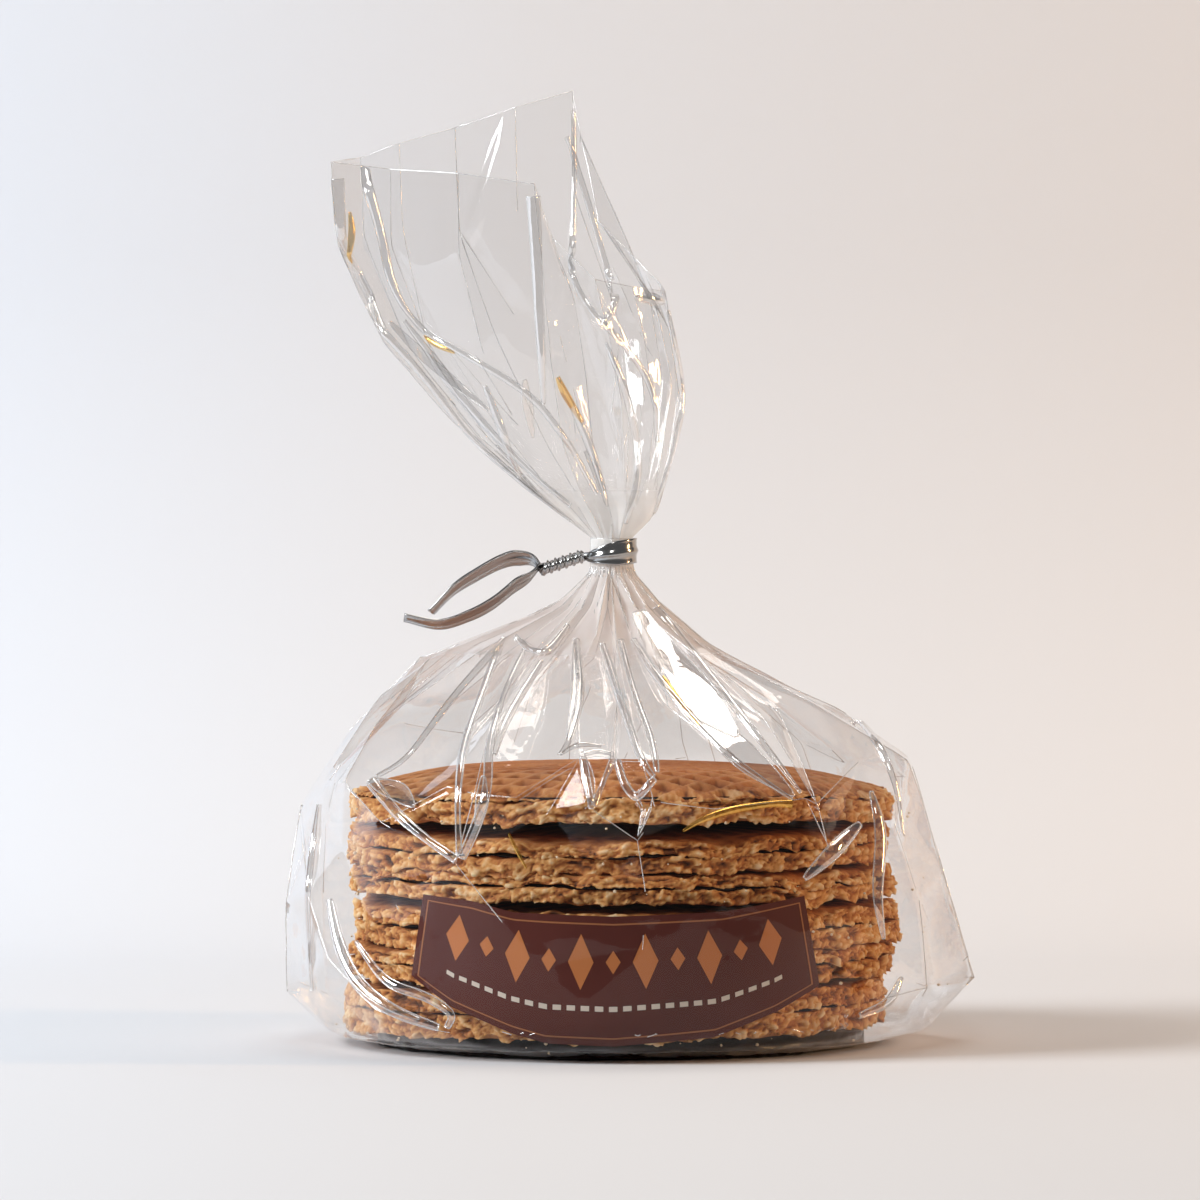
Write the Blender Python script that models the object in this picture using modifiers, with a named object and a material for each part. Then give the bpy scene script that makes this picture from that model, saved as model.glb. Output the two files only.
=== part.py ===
"""A clear gift bag of stroopwafels: the filled bag, the label on its front and the twist tie round its neck.

Metres, +Z up. The origin is on the floor under the middle of the stack, and the label faces -Y.
The bag is one closed solid out to its film, pleated above the stack, drawn in at the neck and fanned out above.
The tie is one flat strip: it rings the neck, its two runs twist together, and its two tails hang free.
"""

import math
import random

import bmesh
import bpy
from mathutils import Vector

MM = 0.001

# The bag is a loft of rings. Each ring has the same sixteen folds, and fold 0 points left, 4 forward, 8 right.
FOLDS = 16
POINTS_PER_FOLD = 3
RING = FOLDS * POINTS_PER_FOLD

# From the floor to the neck: height, then how far the film reaches left, right, forward and back of the
# stack's middle, then how deep the pleats are, all in millimetres.
BODY = [
    (0.0, 38.0, 39.0, 37.0, 37.0, 0.0),
    (1.5, 45.5, 46.0, 43.8, 43.8, 0.1),
    (4.5, 48.5, 50.0, 46.0, 46.2, 0.2),
    (8.3, 49.5, 51.0, 46.6, 47.0, 0.3),
    (13.0, 49.6, 50.8, 46.8, 47.2, 0.4),
    (18.8, 49.8, 50.2, 46.8, 47.3, 0.5),
    (26.9, 49.9, 49.0, 46.8, 47.2, 0.6),
    (35.0, 49.7, 47.8, 46.7, 47.0, 0.6),
    (39.9, 48.9, 46.6, 46.4, 46.6, 0.7),
    (44.0, 47.0, 44.9, 45.4, 45.4, 0.9),
    (46.6, 45.4, 43.7, 43.4, 43.6, 1.2),
    (49.0, 43.0, 42.0, 40.4, 40.8, 1.7),
    (52.6, 39.7, 36.4, 35.0, 35.6, 2.3),
    (57.7, 35.0, 24.8, 27.0, 28.0, 2.6),
    (61.0, 31.6, 18.4, 22.0, 22.6, 2.4),
    (64.2, 26.6, 12.6, 16.6, 17.0, 2.0),
    (67.2, 16.4, 9.4, 11.8, 12.2, 1.6),
    (70.2, 8.9, 7.0, 8.0, 8.2, 1.0),
    (73.2, 5.4, 4.9, 5.1, 5.1, 0.5),
    (76.0, 3.3, 3.3, 3.3, 3.3, 0.2),
]
# The sealed bottom corners stick out as two ears: height, and how far past the ring at the left and right.
EARS = [(0.0, 0.0, 0.0), (3.0, 1.2, 2.4), (8.3, 2.6, 5.0), (18.8, 1.8, 3.0), (30.0, 0.8, 1.0), (40.0, 0.0, 0.0)]
EAR_SPREAD = math.radians(17)

# The neck is a straight gather, a little left of the stack's middle.
NECK_X = -1.3
NECK_RADIUS = 3.1
NECK_LOW, NECK_HIGH = 76.0, 81.4
SHIFT_FROM = 60.0

# Above the neck the film fans out and leans left. Its left and right edges, seen from the front: height, x.
FAN_LEFT = [(81.4, -4.4), (83.0, -6.4), (87.6, -12.6), (94.1, -20.8), (103.8, -30.4), (118.4, -42.4), (126.7, -45.1), (156.0, -46.9)]
FAN_RIGHT = [(81.4, 1.8), (83.2, 5.0), (88.6, 7.1), (99.9, 10.2), (106.4, 10.4), (121.3, 7.3), (133.2, -3.2), (156.0, -7.6)]
# Where each fold ends at the open top: x, y, z.
FAN_TIPS = [
    (-46.5, -8.0, 142.0),
    (-37.0, -4.5, 141.0),
    (-26.0, -12.0, 140.0),
    (-13.8, -14.0, 138.2),
    (-11.0, -7.0, 130.0),
    (-4.0, -12.0, 123.0),
    (2.0, -9.0, 121.9),
    (7.2, -4.0, 121.3),
    (6.0, 2.0, 123.2),
    (1.0, 6.0, 128.5),
    (-3.4, 8.0, 133.2),
    (-7.7, 14.0, 154.7),
    (-17.0, 8.5, 151.7),
    (-27.0, 13.0, 148.6),
    (-36.0, 8.0, 145.8),
    (-42.4, 11.0, 143.6),
]
FAN_ROWS = [0.05, 0.12, 0.22, 0.35, 0.5, 0.65, 0.8, 0.91, 1.0]

# The label: how far round the front it reaches, and its edges' heights from its left end, -1, to its right, 1.
LABEL_LEFT, LABEL_RIGHT = math.radians(-42.5), math.radians(39.7)
LABEL_TOP = [(-1.0, 25.9), (-0.72, 25.1), (-0.5, 23.5), (0.0, 23.0), (0.55, 23.6), (1.0, 25.7)]
LABEL_BOTTOM = [(-1.0, 13.0), (-0.78, 8.4), (-0.48, 4.5), (-0.32, 3.0), (0.0, 2.6), (0.48, 4.0), (0.78, 7.8), (1.0, 11.6)]
LABEL_SLANT = 0.07
LABEL_GAP, LABEL_THICKNESS = 0.5, 0.35
LABEL_COLUMNS, LABEL_ROWS = 30, 8

# The tie's strip is flat with a wire along its middle, and is gathered narrow where it twists.
STRIP_WIDTH, STRIP_THICKNESS = 4.0, 0.45
WIRE_THICKNESS = 0.9
TWIST_WIDTH, TWIST_THICKNESS = 0.85, 0.8
BAND_RADIUS, BAND_HEIGHT = 3.95, 78.9
BAND_OPENING = math.radians(50)
BAND_TILT = math.radians(8)
TWIST_START = Vector((-5.9, 0.0, 78.6))
TWIST_END = Vector((-12.6, -0.6, 76.4))
TWIST_RADIUS = 0.8
TWIST_TURNS = 2.75
TWIST_STEPS = 40
BAND_STEPS = 28
TAIL_STEPS = 15
# Where the tails run after the twist, and which way the strip's width lies at their starts and ends.
UPPER_TAIL = [(-14.0, 1.0, 77.8), (-16.6, 1.8, 78.2), (-19.4, 2.2, 77.5), (-23.2, 2.6, 75.5), (-27.0, 3.0, 73.0), (-30.7, 3.2, 69.3)]
UPPER_TAIL_WIDTH = [Vector((0.1, -0.86, 0.5)), Vector((0.2, -0.9, 0.4))]
LOWER_TAIL = [(-14.6, -1.4, 75.2), (-16.9, -2.0, 73.8), (-20.6, -2.6, 70.9), (-24.4, -2.8, 68.9), (-29.2, -3.0, 67.5), (-34.9, -3.0, 68.6)]
LOWER_TAIL_WIDTH = [Vector((0.3, -0.6, 0.74)), Vector((0.0, -1.0, 0.0))]


def along(table, at, column=1):
    """The value in a column of a table whose first column rises, between two rows or at its ends."""
    if at <= table[0][0]:
        return table[0][column]
    for low, high in zip(table, table[1:]):
        if at <= high[0]:
            share = (at - low[0]) / (high[0] - low[0])
            return low[column] + share * (high[column] - low[column])
    return table[-1][column]


def fold_depths():
    """How far each fold stands out, from 1 at a ridge to -1 at a valley, a little uneven."""
    uneven = random.Random(7)
    return [(1 if fold % 2 == 0 else -1) * uneven.uniform(0.55, 1.0) for fold in range(FOLDS)]


DEPTHS = fold_depths()


def pleat(fold):
    """The pleats' zigzag round a ring, as a share of their depth."""
    low = int(fold) % FOLDS
    share = fold - int(fold)
    return DEPTHS[low] * (1 - share) + DEPTHS[(low + 1) % FOLDS] * share


def ring_angle(fold):
    """The direction of a fold, counterclockwise from +X. Fold 0 points left and fold 4 forward."""
    return math.pi + fold / FOLDS * math.tau


def body_reach(angle, height):
    """How far the film is from the stack's middle line at that direction and height."""
    left, right, front, back, depth = (along(BODY, height, column) for column in range(1, 6))
    across = right if math.cos(angle) > 0 else left
    deep = back if math.sin(angle) > 0 else front
    reach = 1 / math.hypot(math.cos(angle) / across, math.sin(angle) / deep)
    turned = math.atan2(math.sin(angle), math.cos(angle))
    left_ear = along(EARS, height, 1) * math.exp(-(((math.pi - abs(turned)) / EAR_SPREAD) ** 2))
    right_ear = along(EARS, height, 2) * math.exp(-((turned / EAR_SPREAD) ** 2))
    fold = (angle - math.pi) / math.tau * FOLDS % FOLDS
    return reach + left_ear + right_ear + depth * pleat(fold)


def body_point(fold, height):
    angle = ring_angle(fold)
    reach = body_reach(angle, height)
    shift = NECK_X * min(1, max(0, (height - SHIFT_FROM) / (NECK_LOW - SHIFT_FROM)))
    return Vector((shift + reach * math.cos(angle), reach * math.sin(angle), height))


def neck_point(fold, height):
    angle = ring_angle(fold)
    return Vector((NECK_X + NECK_RADIUS * math.cos(angle), NECK_RADIUS * math.sin(angle), height))


def fan_tip(fold):
    low = int(fold) % FOLDS
    share = fold - int(fold)
    return Vector(FAN_TIPS[low]).lerp(Vector(FAN_TIPS[(low + 1) % FOLDS]), share)


def fan_point(fold, rise):
    """A point of the fan. rise is 0 at the neck and 1 at the open top."""
    start, tip = neck_point(fold, NECK_HIGH), fan_tip(fold)
    height = start.z + rise * (tip.z - start.z)
    tip_left, tip_right = along(FAN_LEFT, tip.z), along(FAN_RIGHT, tip.z)
    share_at_neck = (1 - math.cos(fold / FOLDS * math.tau)) / 2
    share_at_tip = (tip.x - tip_left) / (tip_right - tip_left)
    share = share_at_neck + rise * (share_at_tip - share_at_neck)
    left, right = along(FAN_LEFT, height), along(FAN_RIGHT, height)
    opened = math.sin(rise * math.pi / 2)
    return Vector((left + share * (right - left), start.y + opened * (tip.y - start.y), height))


def ring(point_at, level):
    """One closed ring of the bag, in millimetres."""
    return [point_at(step / POINTS_PER_FOLD, level) for step in range(RING)]


def skin(rings, closed=True):
    """A bmesh through rings of equal length, in metres, with no ends yet."""
    mesh = bmesh.new()
    rows = [[mesh.verts.new(point * MM) for point in points] for points in rings]
    count = len(rows[0])
    for lower, upper in zip(rows, rows[1:]):
        for here in range(count if closed else count - 1):
            beside = (here + 1) % count
            mesh.faces.new((lower[here], lower[beside], upper[beside], upper[here]))
    return mesh, rows


def finished(name, mesh, material):
    """A smooth-shaded object of that bmesh, in the object's collection."""
    bmesh.ops.recalc_face_normals(mesh, faces=mesh.faces)
    data = bpy.data.meshes.new(name)
    mesh.to_mesh(data)
    mesh.free()
    data.shade_smooth()
    data.set_sharp_from_angle(angle=math.radians(30))
    data.materials.append(material)
    made = bpy.data.objects.new(name, data)
    PARTS.objects.link(made)
    return made


def material(name, colour, roughness, metallic=0.0):
    made = bpy.data.materials.new(name)
    made.use_nodes = True
    shader = made.node_tree.nodes["Principled BSDF"]
    shader.inputs["Base Color"].default_value = (*colour, 1.0)
    shader.inputs["Roughness"].default_value = roughness
    shader.inputs["Metallic"].default_value = metallic
    return made


def make_bag():
    """The filled bag: floor to neck, neck, and the fan above it, closed below by a flat foot."""
    rings = [ring(body_point, row[0]) for row in BODY]
    rings += [ring(neck_point, height) for height in (NECK_LOW + 1.2, NECK_HIGH)]
    rings += [ring(fan_point, rise) for rise in FAN_ROWS]
    mesh, rows = skin(rings)
    mesh.faces.new(reversed(rows[0]))
    # The open top is closed between its front half and its back half.
    top = rows[-1]
    for here in range(RING // 2):
        front, back = (here, here + 1), (RING - here, RING - here - 1)
        corners = [top[front[0]], top[front[1]], top[back[1]], top[back[0] % RING]]
        mesh.faces.new(dict.fromkeys(corners))
    bmesh.ops.triangulate(mesh, faces=[face for face in mesh.faces if len(face.verts) == 4])
    return finished("filled_bag", mesh, material("clear_film_over_biscuit", (0.46, 0.25, 0.11), 0.35))


def label_point(across, up):
    """A point of the label's back. across runs from -1 at its left end to 1, and up from 0 to 1."""
    bottom, top = along(LABEL_BOTTOM, across), along(LABEL_TOP, across)
    height = bottom + up * (top - bottom)
    middle, half = (LABEL_LEFT + LABEL_RIGHT) / 2, (LABEL_RIGHT - LABEL_LEFT) / 2
    angle = -math.pi / 2 + middle + half * across * (1 - LABEL_SLANT * up)
    reach = body_reach(angle, height) + LABEL_GAP
    return Vector((reach * math.cos(angle), reach * math.sin(angle), height))


def make_label():
    """The printed label that follows the front of the bag."""
    rows = []
    for step in range(LABEL_ROWS + 1):
        across_row = [2 * column / LABEL_COLUMNS - 1 for column in range(LABEL_COLUMNS + 1)]
        rows.append([label_point(across, step / LABEL_ROWS) for across in across_row])
    mesh, _ = skin(rows, closed=False)
    label = finished("label", mesh, material("label_brown", (0.085, 0.022, 0.014), 0.4))
    wall = label.modifiers.new("thickness", "SOLIDIFY")
    wall.thickness = LABEL_THICKNESS * MM
    wall.offset = 1.0
    return label


def smooth_route(points, steps):
    """Points along a smooth curve through the given ones."""
    ends = [points[0] * 2 - points[1], *points, points[-1] * 2 - points[-2]]
    found = []
    for step in range(steps):
        at = step / (steps - 1) * (len(points) - 1)
        span = min(int(at), len(points) - 2)
        t = at - span
        a, b, c, d = ends[span : span + 4]
        found.append(0.5 * (2 * b + (c - a) * t + (2 * a - 5 * b + 4 * c - d) * t**2 + (3 * b - a - 3 * c + d) * t**3))
    return found


def twist_run(phase):
    """One run of the twist, from the neck outwards: where it is and which way the strip's width lies."""
    axis = (TWIST_END - TWIST_START).normalized()
    side = axis.cross(Vector((0, 0, 1))).normalized()
    over = side.cross(axis)
    run = []
    for step in range(TWIST_STEPS):
        share = step / (TWIST_STEPS - 1)
        angle = phase + share * TWIST_TURNS * math.tau
        out = math.cos(angle) * side + math.sin(angle) * over
        round_it = math.cos(angle) * over - math.sin(angle) * side
        run.append((TWIST_START.lerp(TWIST_END, share) + TWIST_RADIUS * out, round_it, 0.0))
    return run


def band_run():
    """The strip round the neck, its width upright and opening as it leaves the twist."""
    run = []
    for step in range(BAND_STEPS):
        share = step / (BAND_STEPS - 1)
        angle = math.pi + BAND_OPENING / 2 + share * (math.tau - BAND_OPENING)
        rise = BAND_RADIUS * math.cos(angle) * math.tan(BAND_TILT)
        place = Vector((NECK_X + BAND_RADIUS * math.cos(angle), BAND_RADIUS * math.sin(angle), BAND_HEIGHT + rise))
        run.append((place, Vector((0, 0, 1)), min(1.0, 0.2 + 3.2 * min(share, 1 - share))))
    return run


def tail_run(start, points, width):
    """A free tail, opening from the gathered twist to the strip's full width."""
    route = smooth_route([start, *(Vector(point) for point in points)], TAIL_STEPS)[1:]
    run = []
    for step, place in enumerate(route):
        share = (step + 1) / len(route)
        run.append((place, width[0].lerp(width[1], share).normalized(), min(1.0, 3.0 * share)))
    return run


def strip_route():
    """The whole strip, from the lower tail's end to the upper tail's end: place, width direction, openness."""
    front, back = twist_run(math.pi), twist_run(0.0)
    upper = tail_run(back[-1][0], UPPER_TAIL, UPPER_TAIL_WIDTH)
    lower = tail_run(front[-1][0], LOWER_TAIL, LOWER_TAIL_WIDTH)
    return lower[::-1] + front[::-1] + band_run() + back + upper


def strip_section(place, forward, across, openness):
    """Six corners of the strip's cross-section: two flat edges and the wire's bulge on both sides."""
    across = (across - across.dot(forward) * forward).normalized()
    normal = forward.cross(across)
    width = TWIST_WIDTH + openness * (STRIP_WIDTH - TWIST_WIDTH)
    edge = (TWIST_THICKNESS + openness * (STRIP_THICKNESS - TWIST_THICKNESS)) / 2
    bulge = (TWIST_THICKNESS + openness * (WIRE_THICKNESS - TWIST_THICKNESS)) / 2
    corners = [(-0.5, -edge), (0.0, -bulge), (0.5, -edge), (0.5, edge), (0.0, bulge), (-0.5, edge)]
    return [place + width * a * across + b * normal for a, b in corners]


def make_tie():
    """The twist tie: one strip round the neck, twisted together, with two free tails."""
    route = strip_route()
    sections = []
    last_across = None
    for index, (place, across, openness) in enumerate(route):
        before, after = route[max(index - 1, 0)][0], route[min(index + 1, len(route) - 1)][0]
        if last_across is not None and across.dot(last_across) < 0:
            across = -across
        last_across = across
        sections.append(strip_section(place, (after - before).normalized(), across, openness))
    mesh, rows = skin(sections)
    mesh.faces.new(rows[0])
    mesh.faces.new(reversed(rows[-1]))
    return finished("twist_tie", mesh, material("foil_strip", (0.42, 0.39, 0.38), 0.25, 1.0))


for old in list(bpy.data.objects):
    bpy.data.objects.remove(old)
PARTS = bpy.data.collections.new("bag_of_stroopwafels")
bpy.context.scene.collection.children.link(PARTS)
make_bag()
make_label()
make_tie()
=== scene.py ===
"""A clear gift bag of stroopwafels on a pale table: thin film, six wafers with dark syrup, a label, a foil tie.

Lengths in the tables are millimetres. A direction round the bag is in degrees from its front: 90 is its right,
-90 its left, 180 its back. place_on_bag() turns a direction and a height into a point of the bag.
"""

import math
import random

import bmesh
import bpy
import numpy as np
from mathutils import Matrix, Vector, kdtree, noise
from mathutils.bvhtree import BVHTree
from mathutils.geometry import delaunay_2d_cdt


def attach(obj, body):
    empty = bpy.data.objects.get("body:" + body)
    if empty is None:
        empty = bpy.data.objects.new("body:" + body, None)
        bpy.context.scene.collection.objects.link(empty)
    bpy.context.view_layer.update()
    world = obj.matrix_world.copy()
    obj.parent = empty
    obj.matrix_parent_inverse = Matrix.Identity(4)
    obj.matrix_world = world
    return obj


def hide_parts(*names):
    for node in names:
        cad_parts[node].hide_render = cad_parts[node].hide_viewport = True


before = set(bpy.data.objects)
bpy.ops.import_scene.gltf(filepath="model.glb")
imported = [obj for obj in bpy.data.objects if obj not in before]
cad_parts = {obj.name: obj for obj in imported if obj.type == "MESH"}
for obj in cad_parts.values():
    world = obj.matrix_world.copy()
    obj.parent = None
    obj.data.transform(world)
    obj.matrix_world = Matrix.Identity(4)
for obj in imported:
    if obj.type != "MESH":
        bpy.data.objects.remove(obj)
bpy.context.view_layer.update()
MM = 0.001

# ---------------------------------------------------------------- the bag's shape

# From the floor to the neck: height, then how far the film reaches left, right, forward and back.
BODY = [
    (0.0, 38.0, 39.0, 37.0, 37.0),
    (1.5, 45.5, 46.0, 43.8, 43.8),
    (4.5, 48.5, 50.0, 46.0, 46.2),
    (8.3, 49.5, 51.0, 46.6, 47.0),
    (13.0, 49.6, 50.8, 46.8, 47.2),
    (18.8, 49.8, 50.2, 46.8, 47.3),
    (26.9, 49.9, 49.0, 46.8, 47.2),
    (35.0, 49.7, 47.8, 46.7, 47.0),
    (39.9, 48.9, 46.6, 46.4, 46.6),
    (44.0, 47.0, 44.9, 45.4, 45.4),
    (46.6, 45.4, 43.7, 43.4, 43.6),
    (49.0, 43.0, 42.0, 40.4, 40.8),
    (52.6, 39.7, 36.4, 35.0, 35.6),
    (57.7, 35.0, 24.8, 27.0, 28.0),
    (61.0, 31.6, 18.4, 22.0, 22.6),
    (64.2, 26.6, 12.6, 16.6, 17.0),
    (67.2, 16.4, 9.4, 11.8, 12.2),
    (70.2, 8.9, 7.0, 8.0, 8.2),
    (73.2, 5.4, 4.9, 5.1, 5.1),
    (76.0, 3.5, 3.5, 3.5, 3.5),
    (82.0, 3.4, 3.4, 3.4, 3.4),
]
# The sealed bottom corners stick out as ears: height, then how far at the left and at the right.
EARS = [(0.0, 0.0, 0.0), (3.0, 1.2, 2.4), (8.3, 2.6, 5.0), (18.8, 1.8, 3.0), (30.0, 0.8, 1.0), (40.0, 0.0, 0.0)]
EAR_SPREAD = 17.0
NECK_X, SHIFT_FROM, NECK_LOW, NECK_HIGH = -1.3, 60.0, 76.0, 81.4


def along(table, at, column=1):
    """The value in a column of a table whose first column rises, between two rows or at its ends."""
    if at <= table[0][0]:
        return table[0][column]
    for low, high in zip(table, table[1:]):
        if at <= high[0]:
            share = (at - low[0]) / (high[0] - low[0])
            return low[column] + share * (high[column] - low[column])
    return table[-1][column]


def bag_reach(direction, height):
    """How far the film is from the stack's middle line."""
    turned = math.radians(direction)
    left, right, front, back = (along(BODY, height, column) for column in range(1, 5))
    across = right if math.sin(turned) > 0 else left
    deep = front if math.cos(turned) > 0 else back
    reach = 1 / math.hypot(math.sin(turned) / across, math.cos(turned) / deep)
    left_ear = along(EARS, height, 1) * math.exp(-(((direction + 90) / EAR_SPREAD) ** 2))
    right_ear = along(EARS, height, 2) * math.exp(-(((direction - 90) / EAR_SPREAD) ** 2))
    return reach + left_ear + right_ear


def place_on_bag(direction, height, out=0.0):
    """A point out millimetres outside the bag's surface, in millimetres."""
    turned = math.radians(direction)
    reach = bag_reach((direction + 180) % 360 - 180, height) + out
    shift = NECK_X * min(1, max(0, (height - SHIFT_FROM) / (NECK_LOW - SHIFT_FROM)))
    return Vector((shift + reach * math.sin(turned), -reach * math.cos(turned), height))


# ---------------------------------------------------------------- materials

MILKINESS = 0.90


def new_material(name):
    made = bpy.data.materials.new(name)
    made.use_nodes = True
    made.node_tree.nodes.clear()
    return made, made.node_tree.nodes, made.node_tree.links


def node(nodes, kind, **values):
    """A shader node with some of its inputs or properties set."""
    made = nodes.new("ShaderNode" + kind)
    for key, value in values.items():
        if key in made.inputs:
            made.inputs[key].default_value = value
        else:
            setattr(made, key, value)
    return made


def ramp(nodes, links, source, stops):
    """A colour ramp over a value: stops of (position, colour)."""
    made = nodes.new("ShaderNodeValToRGB")
    while len(made.color_ramp.elements) < len(stops):
        made.color_ramp.elements.new(0.5)
    for element, (position, colour) in zip(made.color_ramp.elements, stops):
        element.position = position
        element.color = (*colour, 1.0) if len(colour) == 3 else colour
    links.new(source, made.inputs["Fac"])
    return made.outputs["Color"]


def film_material(name, clearness, shine_share, clear_at, milky_at):
    """Clear cellophane: mostly see-through, mirror-like where it turns away, milky where it is gathered."""
    made, nodes, links = new_material(name)
    where = node(nodes, "TexCoord")
    crinkle = node(nodes, "TexNoise", Scale=260.0, Detail=2.0, Roughness=0.45)
    links.new(where.outputs["Object"], crinkle.inputs["Vector"])
    bump = node(nodes, "Bump", Strength=0.10, Distance=0.0006)
    links.new(crinkle.outputs["Fac"], bump.inputs["Height"])

    turned_away = node(nodes, "LayerWeight", Blend=0.5)
    links.new(bump.outputs["Normal"], turned_away.inputs["Normal"])
    steep = node(nodes, "Math", operation="POWER")
    links.new(turned_away.outputs["Facing"], steep.inputs[0])
    steep.inputs[1].default_value = 2.8
    share = node(nodes, "MapRange")
    share.inputs["To Min"].default_value = shine_share
    share.inputs["To Max"].default_value = 1.0
    links.new(steep.outputs[0], share.inputs["Value"])

    clear = node(nodes, "BsdfTransparent", Color=(clearness, clearness * 0.995, clearness * 0.99, 1))
    shine = node(nodes, "BsdfGlossy", Color=(1, 1, 1, 1), Roughness=0.035)
    links.new(bump.outputs["Normal"], shine.inputs["Normal"])
    film = nodes.new("ShaderNodeMixShader")
    links.new(share.outputs["Result"], film.inputs["Fac"])
    links.new(clear.outputs[0], film.inputs[1])
    links.new(shine.outputs[0], film.inputs[2])

    # Where the film is bunched into the neck, its many layers scatter light.
    place = node(nodes, "SeparateXYZ")
    links.new(where.outputs["Object"], place.inputs[0])
    gathered = nodes.new("ShaderNodeMapRange")
    gathered.interpolation_type = "SMOOTHSTEP"
    gathered.inputs["From Min"].default_value = min(clear_at, milky_at) * MM
    gathered.inputs["From Max"].default_value = max(clear_at, milky_at) * MM
    gathered.inputs["To Min"].default_value = MILKINESS if milky_at < clear_at else 0.0
    gathered.inputs["To Max"].default_value = MILKINESS if milky_at > clear_at else 0.0
    links.new(place.outputs["Z"], gathered.inputs["Value"])
    milk = node(nodes, "BsdfDiffuse", Color=(0.98, 0.975, 0.96, 1))
    glow = node(nodes, "BsdfTranslucent", Color=(0.98, 0.975, 0.96, 1))
    scatter = nodes.new("ShaderNodeMixShader")
    scatter.inputs["Fac"].default_value = 0.5
    links.new(milk.outputs[0], scatter.inputs[1])
    links.new(glow.outputs[0], scatter.inputs[2])
    whole = nodes.new("ShaderNodeMixShader")
    links.new(gathered.outputs["Result"], whole.inputs["Fac"])
    links.new(film.outputs[0], whole.inputs[1])
    links.new(scatter.outputs[0], whole.inputs[2])
    end = nodes.new("ShaderNodeOutputMaterial")
    links.new(whole.outputs[0], end.inputs["Surface"])
    return made


def painted_glint_film_material():
    """Film with a painted golden glint: its shine and its see-through tint are coloured gold, standing in for the
    reflection of a warm lamp.
    """
    made, nodes, links = new_material("painted_glint_film")
    clear = node(nodes, "BsdfTransparent", Color=(0.98, 0.90, 0.70, 1))
    shine = node(nodes, "BsdfGlossy", Color=(1.0, 0.58, 0.13, 1), Roughness=0.10)
    film = nodes.new("ShaderNodeMixShader")
    film.inputs["Fac"].default_value = 0.55
    links.new(clear.outputs[0], film.inputs[1])
    links.new(shine.outputs[0], film.inputs[2])
    end = nodes.new("ShaderNodeOutputMaterial")
    links.new(film.outputs[0], end.inputs["Surface"])
    return made


def biscuit_material():
    """Baked crumb: pale where it was cut, brown on its pressed faces, with painted shade darkening its pits and cracks.
    """
    made, nodes, links = new_material("baked_crumb")
    where = node(nodes, "TexCoord")
    # Each point's crumb tone, with painted shade in its cracks and pits, as worked out in wafer_half().
    height = node(nodes, "Attribute", attribute_name="crumb_tone_and_painted_shade")
    baked = node(nodes, "Attribute", attribute_name="baked")

    speckle = node(nodes, "TexNoise", Scale=900.0, Detail=5.0, Roughness=0.65)
    links.new(where.outputs["Object"], speckle.inputs["Vector"])
    patch = node(nodes, "TexNoise", Scale=95.0, Detail=3.0, Roughness=0.55)
    links.new(where.outputs["Object"], patch.inputs["Vector"])

    added = node(nodes, "Math", operation="MULTIPLY_ADD")
    links.new(speckle.outputs["Fac"], added.inputs[0])
    added.inputs[1].default_value = 0.5
    links.new(height.outputs["Fac"], added.inputs[2])
    shifted = node(nodes, "Math", operation="MULTIPLY_ADD")
    links.new(patch.outputs["Fac"], shifted.inputs[0])
    shifted.inputs[1].default_value = 0.8
    links.new(added.outputs[0], shifted.inputs[2])
    halved = node(nodes, "Math", operation="MULTIPLY_ADD")
    links.new(shifted.outputs[0], halved.inputs[0])
    halved.inputs[1].default_value = 0.62
    halved.inputs[2].default_value = -0.22
    # The lowest values are the painted shade of cracks and pits.
    cut = ramp(
        nodes,
        links,
        halved.outputs[0],
        [
            (0.14, (0.075, 0.02, 0.005)),
            (0.34, (0.42, 0.135, 0.026)),
            (0.54, (0.70, 0.345, 0.105)),
            (0.80, (0.92, 0.68, 0.40)),
        ],
    )
    face = ramp(
        nodes,
        links,
        halved.outputs[0],
        [(0.15, (0.14, 0.038, 0.010)), (0.45, (0.42, 0.14, 0.038)), (0.8, (0.66, 0.29, 0.10))],
    )
    colour = nodes.new("ShaderNodeMix")
    colour.data_type = "RGBA"
    links.new(baked.outputs["Fac"], colour.inputs["Factor"])
    links.new(cut, colour.inputs[6])
    links.new(face, colour.inputs[7])

    bump = node(nodes, "Bump", Strength=0.55, Distance=0.0005)
    links.new(speckle.outputs["Fac"], bump.inputs["Height"])
    shader = node(nodes, "BsdfPrincipled", Roughness=0.72)
    shader.inputs["Subsurface Weight"].default_value = 0.12
    shader.inputs["Subsurface Radius"].default_value = (0.9, 0.45, 0.2)
    shader.inputs["Subsurface Scale"].default_value = 0.0012
    links.new(colour.outputs[2], shader.inputs["Base Color"])
    links.new(bump.outputs["Normal"], shader.inputs["Normal"])
    end = nodes.new("ShaderNodeOutputMaterial")
    links.new(shader.outputs[0], end.inputs["Surface"])
    return made


def plain_material(name, colour, roughness, metallic=0.0, coat=0.0):
    made, nodes, links = new_material(name)
    shader = node(nodes, "BsdfPrincipled", Roughness=roughness, Metallic=metallic)
    shader.inputs["Base Color"].default_value = (*colour, 1.0)
    shader.inputs["Coat Weight"].default_value = coat
    shader.inputs["Coat Roughness"].default_value = 0.12
    shader.inputs["Specular IOR Level"].default_value = 0.3
    end = nodes.new("ShaderNodeOutputMaterial")
    links.new(shader.outputs[0], end.inputs["Surface"])
    return made


# ---------------------------------------------------------------- helpers


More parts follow.
